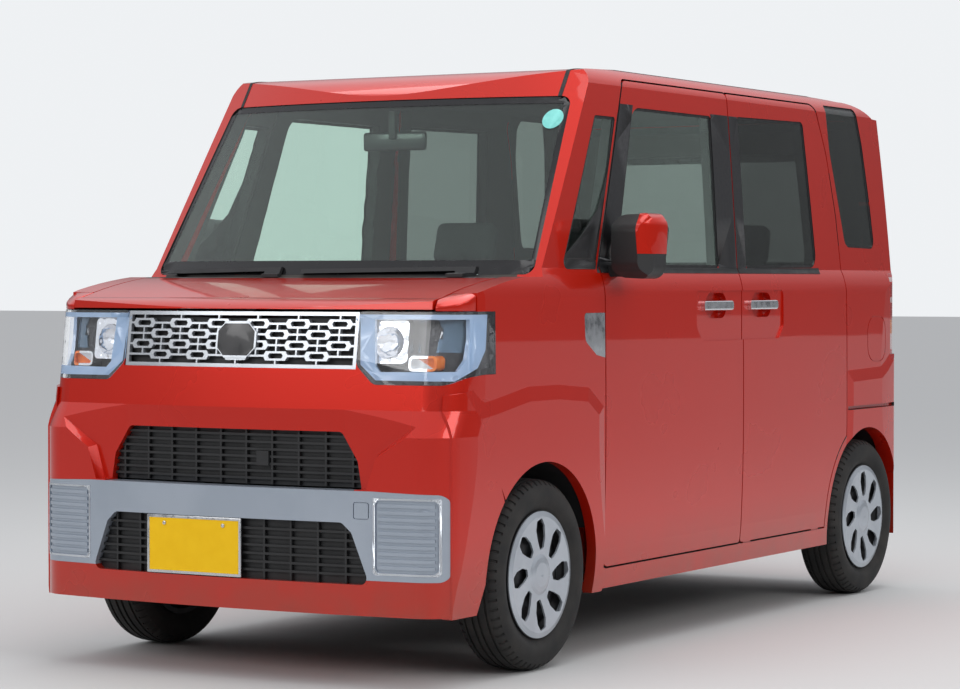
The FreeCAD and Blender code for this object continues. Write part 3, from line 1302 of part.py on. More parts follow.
def wheel():
    """Pressed steel rim and disc with its snap-on cover, outer face towards +X."""
    lip = BEAD_X + 2 + SEAT_GAP
    rim = revolved([
        (-lip, FLANGE_R),
        (-lip, RIM_R),
        (lip, RIM_R),
        (lip, FLANGE_R),
        (lip + 6, FLANGE_R),
        (lip + 6, RIM_R - 4),
        (48, RIM_R - 8),
        (30, RIM_R - 22),
        (-48, RIM_R - 20),
        (-lip - 6, RIM_R - 4),
        (-lip - 6, FLANGE_R),
    ])
    back = DISC_X - HALF_TRACK
    face = HUB_FACE_X - HALF_TRACK
    centre = revolved([
        (30, RIM_R - 21),
        (50, 110),
        (42, 60),
        (back, 60),
        (back, 34),
        (face, 34),
        (face, 0),
        (46, 0),
        (46, 52),
        (56, 108),
        (36, RIM_R - 18),
    ])
    bore = cylinder_x(STUB_R + STUB_FIT, face - 1, back, 0, 0)
    dish = revolved([
        (lip + 3, COVER_R),
        (lip + 9, COVER_R),
        (COVER_X, 172),
        (COVER_X - 5, 60),
        (COVER_X - 1, 50),
        (COVER_X + 2, 36),
        (COVER_X + 3, 0),
        (46, 0),
        (46, 30),
        (COVER_X - 9, 44),
        (COVER_X - 11, 60),
        (COVER_X - 6, 166),
        (lip + 3, RIM_R),
    ])
    slot = rounded_prism_yz(COVER_SLOT, COVER_SLOT_CORNERS, COVER_X - 16, COVER_X + 6)
    slot.rotate(V(0, 0, 120), V(1, 0, 0), COVER_SLOT_LEAN)
    for i in range(COVER_OPENINGS):
        hole = slot.copy()
        hole.rotate(V(0, 0, 0), V(1, 0, 0), i * 360 / COVER_OPENINGS)
        dish = dish.cut(hole)
    return clean(rim.fuse(centre).cut(bore).fuse(dish))


def placed_wheel(shape, axle_y, left):
    turned = shape if left else mirror_x(shape)
    x = HALF_TRACK if left else -HALF_TRACK
    return turned.translated(V(x, axle_y, HUB_Z))


# Cabin

FRONT_SEAT_X = 335.0
FRONT_SEAT_HALF = 245.0
REAR_SEAT_X = 318.0
REAR_SEAT_HALF = 262.0
FRONT_HIP_Y = FIREWALL_Y + 944
REAR_HIP_Y = FLOOR_STEP_Y - 30
WHEEL_CENTRE = V(-330, FIREWALL_Y + 374, 975)
COLUMN_TILT = math.radians(26)
COLUMN = V(0, math.cos(COLUMN_TILT), math.sin(COLUMN_TILT))
STEER_RIM_R = 178.0
HUB_DEPTH = 46.0
DASH_HALF = from_side(109.5)


def seat(x, y, half, base_front, base_back):
    """Cushion, leaning back and headrest on a plinth; y is the hip point."""
    x0 = x - half
    x1 = x + half
    low = [(y - 400, 500), (y + 110, 470), (y + 110, 600), (y - 400, 640)]
    lean = [(y + 60, 540), (y + 170, 520), (y + 330, 1160), (y + 230, 1190)]
    head = [(y + 236, 1215), (y + 326, 1195), (y + 362, 1350), (y + 280, 1375)]
    tube = [(y + 270, 1150), (y + 286, 1146), (y + 310, 1240), (y + 294, 1244)]
    cushion = rounded_prism_yz(low, [50, 20, 20, 60], x0, x1)
    back = rounded_prism_yz(lean, [20, 30, 50, 40], x0 + 15, x1 - 15)
    rest = rounded_prism_yz(head, 34, x - 125, x + 125)
    plinth = block(x0 + 50, x1 - 50, base_front, base_back, SILL_Z + WALL, 520)
    body = cushion.fuse(back).fuse(rest).fuse(plinth)
    for d in (-60, 60):
        body = body.fuse(prism_yz(tube, x + d - 6, x + d + 6))
    return clean(body)


def front_seats():
    y = FRONT_HIP_Y
    return left_right(seat(FRONT_SEAT_X, y, FRONT_SEAT_HALF, y - 340, y + 80))


def rear_seats():
    y = REAR_HIP_Y
    return left_right(seat(REAR_SEAT_X, y, REAR_SEAT_HALF, y - 290, FLOOR_STEP_Y - PANEL - 1))


def steering_wheel():
    """Rim, hub and three spokes, square to the tilted column."""
    turned = Part.makeTorus(STEER_RIM_R, 15, WHEEL_CENTRE, COLUMN)
    turned = turned.fuse(Part.makeCylinder(44, HUB_DEPTH, WHEEL_CENTRE - COLUMN * HUB_DEPTH, COLUMN))
    for turn in (0, 180, 270):
        spoke = block(0, STEER_RIM_R, -19, 19, -9, 5)
        spoke.rotate(V(0, 0, 0), V(0, 0, 1), turn)
        spoke.rotate(V(0, 0, 0), V(1, 0, 0), math.degrees(COLUMN_TILT) - 90)
        turned = turned.fuse(spoke.translated(WHEEL_CENTRE - COLUMN * 14))
    return clean(turned)


def dashboard():
    """Dash moulding across the cabin with the steering column's shroud."""
    y = FIREWALL_Y + BULKHEAD + SEAT_GAP
    top = COWL_Z - NOSE_WALL - 18 - SEAT_GAP
    front = FIREWALL_Y + 184
    profile = [(y, top), (front, 1112), (front + 84, 1060), (front + 100, 950), (front + 40, 850), (y, 810)]
    dash = rounded_prism_yz(profile, [0, 40, 40, 30, 60, 0], -DASH_HALF, DASH_HALF)
    start = WHEEL_CENTRE - COLUMN * (HUB_DEPTH + SEAT_GAP)
    shroud = Part.makeCylinder(46, 150, start - COLUMN * 150, COLUMN)
    return clean(dash.fuse(shroud))


def solid_parts():
    """Every node of the car, by name."""
    left_door = door_panel(FRONT_DOOR_ZONE, FRONT_WINDOW, FRONT_WINDOW_CORNERS, FRONT_HANDLE_Y)
    left_glass = window_glass(FRONT_WINDOW, FRONT_WINDOW_CORNERS)
    left_handle = door_handle(*FRONT_HANDLE_Y)
    mirror = door_mirror()
    left_knuckle = knuckle()
    parts = {
        "body_sides": body_sides(),
        "roof_panel": roof_panel(),
        "floor_pan": floor_pan(),
        "firewall": firewall(),
        "wheelhouses": wheelhouses(),
        "front_fenders": left_right(front_fender()),
        "fender_garnishes": fender_garnishes(),
        "front_bumper": front_bumper(),
        "bumper_garnish": bumper_garnish(),
        "bumper_mesh": bumper_mesh(),
        "grille": grille(),
        "headlamps": headlamps(),
        "headlamp_lenses": headlamp_lenses(),
        "tail_lamps": tail_lamps(),
        "front_plate": front_plate(),
        "windscreen": windscreen(),
        "quarter_glass": quarter_glass(),
        "sliding_doors": left_right(slide_door()),
        "sliding_door_glass": left_right(window_glass(SLIDE_WINDOW, SLIDE_WINDOW_CORNERS)),
        "sliding_door_handles": left_right(door_handle(*SLIDE_HANDLE_Y)),
        "rear_bumper": rear_bumper(),
        "front_wipers": front_wipers(),
        "front_suspension": front_suspension(),
        "rear_axle": rear_axle(),
        "engine": engine(),
        "radiator": radiator(),
        "exhaust": exhaust(),
        "fuel_tank": fuel_tank(),
        "dashboard": dashboard(),
        "front_seats": front_seats(),
        "rear_seats": rear_seats(),
        "bonnet_panel": bonnet_panel(),
        "door_left_panel": left_door,
        "door_left_glass": left_glass,
        "door_left_mirror": mirror,
        "door_left_handle": left_handle,
        "door_right_panel": mirror_x(left_door),
        "door_right_glass": mirror_x(left_glass),
        "door_right_mirror": mirror_x(mirror),
        "door_right_handle": mirror_x(left_handle),
        "tailgate_panel": tailgate_panel(),
        "tailgate_glass": tailgate_glass(),
        "knuckle_left": left_knuckle,
        "knuckle_right": mirror_x(left_knuckle),
        "steering_rack": steering_rack(),
        "steering_wheel": steering_wheel(),
    }
    rubber = tyre()
    steel = wheel()
    for end, axle_y in (("front", FRONT_AXLE_Y), ("rear", REAR_AXLE_Y)):
        for hand in ("left", "right"):
            parts["tyre_" + end + "_" + hand] = placed_wheel(rubber, axle_y, hand == "left")
            parts["wheel_" + end + "_" + hand] = placed_wheel(steel, axle_y, hand == "left")
    return parts


if __name__ == "__main__":
    os.makedirs("parts", exist_ok=True)
    for name, shape in solid_parts().items():
        shape.exportStep("parts/" + name + ".step")
        state = "ok" if shape.isValid() else "INVALID"
        print(name, state, len(shape.Solids), round(shape.Volume / 1e6, 2), shape.BoundBox)
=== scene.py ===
import math

import bpy
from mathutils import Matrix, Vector


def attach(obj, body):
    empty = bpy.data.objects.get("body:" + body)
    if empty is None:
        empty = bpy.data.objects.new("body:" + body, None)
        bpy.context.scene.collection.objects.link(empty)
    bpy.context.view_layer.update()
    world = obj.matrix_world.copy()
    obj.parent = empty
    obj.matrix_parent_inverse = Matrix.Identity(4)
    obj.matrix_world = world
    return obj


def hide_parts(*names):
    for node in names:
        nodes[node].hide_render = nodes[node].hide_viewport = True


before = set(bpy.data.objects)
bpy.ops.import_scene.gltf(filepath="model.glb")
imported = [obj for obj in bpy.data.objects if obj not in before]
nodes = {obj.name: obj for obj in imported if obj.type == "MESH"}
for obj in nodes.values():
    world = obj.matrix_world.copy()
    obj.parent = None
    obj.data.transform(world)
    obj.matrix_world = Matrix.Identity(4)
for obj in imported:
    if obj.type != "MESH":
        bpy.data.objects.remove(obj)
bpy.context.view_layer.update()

# Painted steel panels
# The body sides, roof, bonnet, fenders, doors and tailgate are pressed steel, the bumpers are
# moulded. All wear one orange-red clear-over-colour paint, with painted shade darkening it towards the sills.


def new_material(name, colour, roughness, metallic=0.0, coat=0.0):
    """A material with one shader, and its nodes and links to build on."""
    material = bpy.data.materials.new(name)
    material.use_nodes = True
    shader = material.node_tree.nodes["Principled BSDF"]
    shader.inputs["Base Color"].default_value = (*colour, 1)
    shader.inputs["Roughness"].default_value = roughness
    shader.inputs["Metallic"].default_value = metallic
    shader.inputs["Coat Weight"].default_value = coat
    shader.inputs["Coat Roughness"].default_value = 0.02
    material.diffuse_color = (*colour, 1)
    return material


def noise(material, scale, detail=2.0, stretch=(1, 1, 1)):
    """Noise over the piece's own coordinates. scale is in waves for each metre."""
    tree = material.node_tree
    place = tree.nodes.new("ShaderNodeTexCoord")
    spread = tree.nodes.new("ShaderNodeMapping")
    spread.inputs["Scale"].default_value = stretch
    texture = tree.nodes.new("ShaderNodeTexNoise")
    texture.inputs["Scale"].default_value = scale
    texture.inputs["Detail"].default_value = detail
    tree.links.new(place.outputs["Object"], spread.inputs["Vector"])
    tree.links.new(spread.outputs["Vector"], texture.inputs["Vector"])
    return texture.outputs["Fac"]


def ramp(material, factor, stops):
    """Turns a factor into a colour between stops, each given as (place, colour)."""
    tree = material.node_tree
    band = tree.nodes.new("ShaderNodeValToRGB")
    while len(band.color_ramp.elements) < len(stops):
        band.color_ramp.elements.new(0.5)
    for element, (place, colour) in zip(band.color_ramp.elements, stops):
        element.position = place
        element.color = (*colour, 1)
    tree.links.new(factor, band.inputs["Fac"])
    return band.outputs["Color"]


def feed(material, socket, output):
    shader = material.node_tree.nodes["Principled BSDF"]
    material.node_tree.links.new(output, shader.inputs[socket])


def grain(material, scale, depth, detail=3.0, stretch=(1, 1, 1)):
    """Fine relief over the surface; depth is in metres."""
    tree = material.node_tree
    bump = tree.nodes.new("ShaderNodeBump")
    bump.inputs["Distance"].default_value = depth
    bump.inputs["Strength"].default_value = 1.0
    tree.links.new(noise(material, scale, detail, stretch), bump.inputs["Height"])
    feed(material, "Normal", bump.outputs["Normal"])


def mottle(material, scale, colour_a, colour_b, stretch=(1, 1, 1)):
    """Slow drift of the colour between two close tones."""
    waves = noise(material, scale, 4, stretch)
    feed(material, "Base Color", ramp(material, waves, [(0.35, colour_a), (0.65, colour_b)]))


def roughen(material, scale, low, high, stretch=(1, 1, 1)):
    """Slow drift of the roughness between two values."""
    tree = material.node_tree
    spread = tree.nodes.new("ShaderNodeMapRange")
    spread.inputs["From Min"].default_value = 0.35
    spread.inputs["From Max"].default_value = 0.65
    spread.inputs["To Min"].default_value = low
    spread.inputs["To Max"].default_value = high
    tree.links.new(noise(material, scale, 3, stretch), spread.inputs["Value"])
    feed(material, "Roughness", spread.outputs["Result"])


def paint_low_shade(material, unshaded, shade_colour, low, high):
    """Painted shade: the paint's colour fades to a darker, browner shade colour below the height high, in
    uneven patches, fully so at low.
    """
    tree = material.node_tree
    place = tree.nodes.new("ShaderNodeTexCoord")
    parts = tree.nodes.new("ShaderNodeSeparateXYZ")
    fall = tree.nodes.new("ShaderNodeMapRange")
    fall.inputs["From Min"].default_value = high
    fall.inputs["From Max"].default_value = low
    patch = tree.nodes.new("ShaderNodeMath")
    patch.operation = "MULTIPLY"
    mix = tree.nodes.new("ShaderNodeMix")
    mix.data_type = "RGBA"
    mix.inputs["A"].default_value = (*unshaded, 1)
    mix.inputs["B"].default_value = (*shade_colour, 1)
    tree.links.new(place.outputs["Object"], parts.inputs["Vector"])
    tree.links.new(parts.outputs["Z"], fall.inputs["Value"])
    tree.links.new(fall.outputs["Result"], patch.inputs[0])
    tree.links.new(noise(material, 9, 5), patch.inputs[1])
    tree.links.new(patch.outputs["Value"], mix.inputs["Factor"])
    feed(material, "Base Color", mix.outputs["Result"])


PAINT = (0.60, 0.014, 0.003)
# Painted shade: the paint made darker and browner towards the bottom of the body
LOW_SHADE_PAINT = (0.30, 0.06, 0.035)

paint = new_material("orange_red_paint", PAINT, 0.3, metallic=0.35, coat=0.85)
paint.node_tree.nodes["Principled BSDF"].inputs["Specular IOR Level"].default_value = 0.15
# Painted shade darkens the paint below 0.42 m, fully so at 0.18 m
paint_low_shade(paint, PAINT, LOW_SHADE_PAINT, 0.18, 0.42)
roughen(paint, 3, 0.27, 0.30)

inner_trim = new_material("moulded_inner_trim", (0.055, 0.053, 0.05), 0.65)
mottle(inner_trim, 3, (0.05, 0.048, 0.045), (0.065, 0.062, 0.058))
grain(inner_trim, 900, 0.0002)

weather_rubber = new_material("weather_strip_rubber", (0.012, 0.012, 0.013), 0.55)
roughen(weather_rubber, 40, 0.48, 0.65)
grain(weather_rubber, 700, 0.00015)

# Window outlines as the panels have them: side views in (y, z), the tailgate's in (x, z)
FRONT_WINDOW = [(-0.592, 1.196), (0.150, 1.196), (0.158, 1.702), (-0.412, 1.702)]
SLIDE_WINDOW = [(0.366, 1.196), (0.962, 1.200), (0.938, 1.460), (0.914, 1.718), (0.366, 1.710)]
QUARTER_WINDOW = [(-0.940, 1.188), (-0.718, 1.188), (-0.532, 1.665), (-0.668, 1.665)]
REAR_QUARTER = [(1.138, 1.276), (1.506, 1.272), (1.446, 1.658), (1.406, 1.790), (1.126, 1.790)]
TAILGATE_WINDOW = [(-0.520, 1.196), (0.520, 1.196), (0.486, 1.640), (-0.486, 1.640)]

ACROSS = Vector((1, 0, 0))
ALONG = Vector((0, 1, 0))
UP = Vector((0, 0, 1))
SIDE_VIEW = (ALONG, UP)
FRONT_VIEW = (ACROSS, UP)
TOP_VIEW = (ACROSS, ALONG)


def within(outline, place, view, grow=0.0):
    """True where a place lies inside a convex outline that is seen along a view and grown."""
    u = place.dot(view[0])
    v = place.dot(view[1])
    sides = list(zip(outline, outline[1:] + outline[:1]))
    turn = math.copysign(1, sum(u0 * v1 - u1 * v0 for (u0, v0), (u1, v1) in sides))
    for (u0, v0), (u1, v1) in sides:
        cross = (u1 - u0) * (v - v0) - (v1 - v0) * (u - u0)
        if turn * cross / math.hypot(u1 - u0, v1 - v0) < -grow:
            return False
    return True


def dress(name, *materials):
    """Gives a solid of the frame its materials."""
    mesh = nodes[name].data
    mesh.materials.clear()
    for material in materials:
        mesh.materials.append(material)


WINDOWS = {
    "body_sides": [(QUARTER_WINDOW, SIDE_VIEW), (REAR_QUARTER, SIDE_VIEW)],
    "door_left_panel": [(FRONT_WINDOW, SIDE_VIEW)],
    "door_right_panel": [(FRONT_WINDOW, SIDE_VIEW)],
    "sliding_doors": [(SLIDE_WINDOW, SIDE_VIEW)],
    "tailgate_panel": [(TAILGATE_WINDOW, FRONT_VIEW)],
}
PAINTED = [
    "body_sides", "roof_panel", "front_fenders", "front_bumper", "sliding_doors", "rear_bumper",
    "bonnet_panel", "door_left_panel", "door_right_panel", "tailgate_panel",
]
OUTSIDE_CABIN = ["front_fenders", "front_bumper", "rear_bumper", "bonnet_panel"]
CABIN_AXIS_Z = 1.0
CABIN_Y = (-0.9, 1.3)
RUN_WIDTH = 0.004

for name in PAINTED:
    dress(name, paint, inner_trim, weather_rubber)
    for face in nodes[name].data.polygons:
        y = min(max(face.center.y, CABIN_Y[0]), CABIN_Y[1])
        inward = Vector((0, y, CABIN_AXIS_Z)) - face.center
        faces_cabin = name not in OUTSIDE_CABIN and face.normal.dot(inward.normalized()) > 0.35
        face.material_index = int(faces_cabin)
        if name.startswith("door_") and face.normal.y < -0.5 and face.center.z > FRONT_WINDOW[0][1]:
            face.material_index = 2
        for outline, view in WINDOWS.get(name, []):
            edge_on = abs(face.normal.dot(view[0].cross(view[1]))) < 0.6
            if edge_on and within(outline, face.center, view, RUN_WIDTH):
                face.material_index = 2

# Black sashes, belt mouldings and sail patches
# Satin black film covers the door frames between the windows. Black mouldings run below the
# glass, and a moulded patch fills the corner behind the windscreen pillar, under the mirror.


def take_up(piece):
    """Selects one piece alone and makes it the active one."""
    bpy.ops.object.select_all(action="DESELECT")
    piece.select_set(True)
    bpy.context.view_layer.objects.active = piece


def modify(piece, kind, **values):
    """Adds a modifier and applies it."""
    take_up(piece)
    modifier = piece.modifiers.new(kind.lower(), kind)
    for key, value in values.items():
        setattr(modifier, key, value)
    bpy.ops.object.modifier_apply(modifier=modifier.name)


def select_faces(piece, chosen):
    """Selects the faces for which chosen(face) holds, ready for edit mode."""
    take_up(piece)
    bpy.ops.object.mode_set(mode="EDIT")
    bpy.ops.mesh.select_mode(type="FACE")
    bpy.ops.mesh.select_all(action="DESELECT")
    bpy.ops.object.mode_set(mode="OBJECT")
    for face in piece.data.polygons:
        face.select = chosen(face)
    bpy.ops.object.mode_set(mode="EDIT")


def drop_faces(piece, chosen):
    select_faces(piece, chosen)
    bpy.ops.mesh.delete(type="FACE")
    bpy.ops.object.mode_set(mode="OBJECT")


def merged_copy(node, name):
    """A copy of a frame solid with its loose triangles joined."""
    piece = bpy.data.objects.new(name, nodes[node].data.copy())
    bpy.context.scene.collection.objects.link(piece)
    take_up(piece)
    bpy.ops.object.mode_set(mode="EDIT")
    bpy.ops.mesh.select_all(action="SELECT")
    bpy.ops.mesh.remove_doubles(threshold=0.00001)
    bpy.ops.object.mode_set(mode="OBJECT")
    return piece


def finish_piece(piece, name, material, body="root", angle=30):
    """Names a piece, gives it its finish and hangs it on its body."""
    piece.name = name
    if material:
        piece.data.materials.clear()
        piece.data.materials.append(material)
        for face in piece.data.polygons:
            face.material_index = 0
    take_up(piece)
    bpy.ops.object.transform_apply(location=True, rotation=True, scale=True)
    bpy.ops.object.shade_smooth_by_angle(angle=math.radians(angle))
    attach(piece, body)
    return piece


def skin(node, outlines, view, keep, thickness, lift=0.0):
    """A thin layer on a panel: its faces are cut along the outlines, those that keep chooses stay
    and are lifted and thickened outwards. Outlines are cut at both sides of the car."""
    piece = merged_copy(node, node + "_skin")
    take_up(piece)
    bpy.ops.object.mode_set(mode="EDIT")
    for outline in outlines:
        for (u0, v0), (u1, v1) in zip(outline, outline[1:] + outline[:1]):
            normal = view[0] * (v1 - v0) - view[1] * (u1 - u0)
            place = view[0] * u0 + view[1] * v0
            for side in (1, -1):
                if side < 0 and abs(normal.x) < 1e-9:
                    continue
                turn = Vector((side, 1, 1))
                bpy.ops.mesh.select_all(action="SELECT")
                bpy.ops.mesh.bisect(plane_co=place * turn, plane_no=(normal * turn).normalized())
    bpy.ops.object.mode_set(mode="OBJECT")
    drop_faces(piece, lambda face: not keep(face.center, face.normal))
    if lift:
        modify(piece, "DISPLACE", strength=lift, mid_level=0.0)
    modify(piece, "SOLIDIFY", thickness=thickness, offset=1.0)
    return piece


def mirrored(place):
    """The place on the car's left that matches one on either side."""
    return Vector((abs(place.x), place.y, place.z))


def outward(normal, place):
    return normal.x * math.copysign(1, place.x) > 0.5


def side_film(node, name, outline, material, body="root", thickness=0.0006):
    """Film on the outer face of a side panel, inside an outline in side view."""
    def keep(place, normal):
        return outward(normal, place) and within(outline, place, SIDE_VIEW)
    piece = skin(node, [outline], SIDE_VIEW, keep, thickness)
    return finish_piece(piece, name, material, body)


sash_film = new_material("satin_black_film", (0.022, 0.022, 0.024), 0.34)
roughen(sash_film, 60, 0.28, 0.4)
grain(sash_film, 1500, 0.00004)
black_plastic = new_material("black_moulded_plastic", (0.016, 0.016, 0.017), 0.5)
roughen(black_plastic, 12, 0.42, 0.6)
grain(black_plastic, 1200, 0.00015)

FILM_TOP = 1.709
BELT = (1.178, 1.196)
FRONT_SASH = [(-0.80, BELT[1]), (-0.592, BELT[1]), (-0.405, FILM_TOP), (-0.62, FILM_TOP)]
REAR_SASH = [(0.150, BELT[1]), (0.300, BELT[1]), (0.300, FILM_TOP), (0.158, FILM_TOP)]
SLIDE_SASH = [(0.290, BELT[1]), (0.366, BELT[1]), (0.366, FILM_TOP), (0.290, FILM_TOP)]
QUARTER_SASH = [(-0.722, BELT[0]), (-0.600, BELT[0]), (-0.440, 1.680), (-0.514, 1.680)]
FRONT_BELT = [(-0.760, BELT[0]), (0.300, BELT[0]), (0.300, BELT[1]), (-0.760, BELT[1])]
SLIDE_BELT = [(0.290, BELT[0]), (0.975, BELT[0]), (0.975, BELT[1] + 0.003), (0.290, BELT[1])]

for side in ("left", "right"):
    panel = "door_" + side + "_panel"
    body = "front_door_" + side
    side_film(panel, "front_sash_" + side, FRONT_SASH, sash_film, body)
    side_film(panel, "door_post_film_" + side, REAR_SASH, sash_film, body)
    side_film(panel, "front_belt_moulding_" + side, FRONT_BELT, black_plastic, body, 0.002)
side_film("sliding_doors", "slide_post_film", SLIDE_SASH, sash_film)
side_film("sliding_doors", "slide_belt_moulding", SLIDE_BELT, black_plastic, thickness=0.002)
side_film("body_sides", "quarter_sash", QUARTER_SASH, sash_film)

# The sail patch's upper edge over the quarter glass, in side view
SAIL_EDGE = [
    (-0.930, 1.226), (-0.888, 1.243), (-0.800, 1.292), (-0.685, 1.374), (-0.612, 1.481), (-0.550, 1.610),
]
SAIL_THICKNESS = 0.0025


def under_sail(place):
    for (y0, z0), (y1, z1) in zip(SAIL_EDGE, SAIL_EDGE[1:]):
        if y0 <= place.y <= y1:
            return place.z < z0 + (z1 - z0) * (place.y - y0) / (y1 - y0)
    return place.y > SAIL_EDGE[-1][0]


sail = skin(
    "quarter_glass", [SAIL_EDGE], SIDE_VIEW,
    lambda place, normal: place.y < 0 and outward(normal, place) and under_sail(place),
    SAIL_THICKNESS,
)
finish_piece(sail, "sail_patches", black_plastic)

# Roof gutter mouldings
# Black rubber strips are pressed into the seams between the roof panel and the roof rails.

GUTTER_X = (0.588, 0.600)
GUTTER_Y = (-0.820, 1.490)
gutters = skin(
    "roof_panel",
    [[
        (GUTTER_X[0], GUTTER_Y[0]), (GUTTER_X[1], GUTTER_Y[0]),
        (GUTTER_X[1], GUTTER_Y[1]), (GUTTER_X[0], GUTTER_Y[1]),
    ]],
    TOP_VIEW,
    lambda place, normal: normal.z > 0.3
    and abs(place.x) > GUTTER_X[0]
    and GUTTER_Y[0] < place.y < GUTTER_Y[1],
    0.0015,
)
finish_piece(gutters, "roof_gutter_mouldings", weather_rubber)

# Window glass
# The windscreen and front door panes are light green laminated and tempered glass. The panes
# behind the front doors are dark privacy glass. All are bonded or held in rubber runs.


def clear_shadow(material):
    """Light that lamps throw passes straight through the pane, so that the cabin is lit."""
    tree = material.node_tree
    shader = tree.nodes["Principled BSDF"]
    output = tree.nodes["Material Output"]
    path = tree.nodes.new("ShaderNodeLightPath")
    through = tree.nodes.new("ShaderNodeBsdfTransparent")
    through.inputs["Color"].default_value = shader.inputs["Base Color"].default_value
    mix = tree.nodes.new("ShaderNodeMixShader")
    tree.links.new(path.outputs["Is Shadow Ray"], mix.inputs["Fac"])
    tree.links.new(shader.outputs["BSDF"], mix.inputs[1])
    tree.links.new(through.outputs["BSDF"], mix.inputs[2])
    tree.links.new(mix.outputs["Shader"], output.inputs["Surface"])


def glass_material(name, colour):
    material = new_material(name, colour, 0.0)
    shader = material.node_tree.nodes["Principled BSDF"]
    shader.inputs["Transmission Weight"].default_value = 1.0
    shader.inputs["IOR"].default_value = 1.5
    clear_shadow(material)
    return material


clear_glass = glass_material("light_green_glass", (0.72, 0.86, 0.79))
dark_glass = glass_material("privacy_glass", (0.20, 0.22, 0.21))
for name in ("windscreen", "door_left_glass", "door_right_glass"):
    dress(name, clear_glass)
for name in ("sliding_door_glass", "tailgate_glass"):
    dress(name, dark_glass)
dress("quarter_glass", clear_glass, dark_glass)
for face in nodes["quarter_glass"].data.polygons:
    face.material_index = int(face.center.y > 0)

# Baked black bands on the windscreen and the tailgate glass
# Black enamel is fired onto the pane's rim to hide the adhesive. A round inspection sticker,
# left blank, sits in the windscreen's upper corner.

enamel = new_material("black_enamel_band", (0.008, 0.008, 0.009), 0.22)
roughen(enamel, 30, 0.18, 0.28)
SCREEN_CLEAR = [(-0.668, 1.215), (0.668, 1.215), (0.612, 1.700), (-0.612, 1.700)]
TAILGATE_CLEAR = [(-0.492, 1.225), (0.492, 1.225), (0.460, 1.612), (-0.460, 1.612)]


def glass_band(node, name, clear, sense, body="root"):
    """The enamel band between a clear outline and the pane's edge."""
    def keep(place, normal):
        return normal.y * sense > 0.3 and not within(clear, place, FRONT_VIEW)
    band = skin(node, [clear], FRONT_VIEW, keep, 0.0004)
    finish_piece(band, name, enamel, body)


def drawn_in(outline, width):
    """A convex outline with each side moved inwards by the width."""
    sides = list(zip(outline, outline[1:] + outline[:1]))
    turn = math.copysign(1, sum(u0 * v1 - u1 * v0 for (u0, v0), (u1, v1) in sides))
    moved = []
    for (u0, v0), (u1, v1) in sides:
        length = math.hypot(u1 - u0, v1 - v0)
        nu = -(v1 - v0) / length * turn * width
        nv = (u1 - u0) / length * turn * width
        moved.append(((u0 + nu, v0 + nv), (u1 + nu, v1 + nv)))
    corners = []
    for ((a, b), (c, d)), ((e, f), (g, h)) in zip(moved[-1:] + moved[:-1], moved):
        det = (c - a) * (h - f) - (d - b) * (g - e)
        along = ((e - a) * (h - f) - (f - b) * (g - e)) / det
        corners.append((a + along * (c - a), b + along * (d - b)))
    return corners


def glass_run(node, name, outline, body="root", front=True, rear=True):
    """The black rubber run that holds a side pane's rim."""
    clear = drawn_in(outline, RUN_COVER)

    def keep(place, normal):
        wanted = front if place.y < 0 else rear
        return wanted and outward(normal, place) and not within(clear, place, SIDE_VIEW)
    run = skin(node, [clear], SIDE_VIEW, keep, 0.0005)
    finish_piece(run, name, weather_rubber, body)


RUN_COVER = 0.009
for side in ("left", "right"):
    glass_run("door_" + side + "_glass", "door_glass_run_" + side, FRONT_WINDOW, "front_door_" + side)
glass_run("sliding_door_glass", "slide_glass_run", SLIDE_WINDOW)
glass_run("quarter_glass", "front_quarter_run", QUARTER_WINDOW, rear=False)
glass_run("quarter_glass", "rear_quarter_run", REAR_QUARTER, front=False)
glass_band("windscreen", "windscreen_band", SCREEN_CLEAR, -1)
glass_band("tailgate_glass", "tailgate_band", TAILGATE_CLEAR, 1, "tailgate")

STICKER_PLACE = (0.594, 1.649)
STICKER_R = 0.031
STICKER_SIDES = 20
sticker_outline = [
    (STICKER_PLACE[0] + STICKER_R * math.cos(math.tau * i / STICKER_SIDES),
     STICKER_PLACE[1] + STICKER_R * math.sin(math.tau * i / STICKER_SIDES))
    for i in range(STICKER_SIDES)
]
sticker_paper = new_material("turquoise_sticker", (0.22, 0.72, 0.66), 0.5)
mottle(sticker_paper, 60, (0.20, 0.68, 0.62), (0.26, 0.76, 0.70))
sticker = skin(
    "windscreen", [sticker_outline], FRONT_VIEW,
    lambda place, normal: normal.y < -0.3 and within(sticker_outline, place, FRONT_VIEW),
    0.0006, lift=0.0006,
)
finish_piece(sticker, "windscreen_sticker", sticker_paper)

# Grille
# One moulding in satin silver: a frame and rows of flattened hexagon rings over black mesh. The
# bare eight-sided plate in the middle is gloss black with a silver rim.

silver = new_material("satin_silver_plastic", (0.42, 0.47, 0.54), 0.3, metallic=0.5)
mottle(silver, 5, (0.40, 0.45, 0.52), (0.44, 0.49, 0.56))
grain(silver, 1500, 0.00006)
bright_silver = new_material("bright_silver_plastic", (0.62, 0.65, 0.69), 0.22, metallic=0.7)
mottle(bright_silver, 8, (0.58, 0.61, 0.65), (0.66, 0.69, 0.73))
gloss_black = new_material("gloss_black", (0.010, 0.010, 0.012), 0.12, coat=0.5)
roughen(gloss_black, 25, 0.08, 0.18)

BADGE_HALF = (0.071, 0.0535)
BADGE_Z = 0.9825
BADGE_CORNER = 0.026
BADGE_RIM = 0.007


def badge_outline(rim):
    w = BADGE_HALF[0] - rim
    h = BADGE_HALF[1] - rim
    c = BADGE_CORNER - rim * 0.6
    corners = [
        (w, -h + c), (w, h - c), (w - c, h), (-w + c, h),
        (-w, h - c), (-w, -h + c), (-w + c, -h), (w - c, -h),
    ]
    return [(x, BADGE_Z + z) for x, z in corners]


badge_field = badge_outline(BADGE_RIM)
dress("grille", bright_silver)
badge = skin(
    "grille", [badge_field], FRONT_VIEW,
    lambda place, normal: normal.y < -0.7 and within(badge_field, place, FRONT_VIEW),
    0.0008,
)
finish_piece(badge, "grille_centre_field", gloss_black)

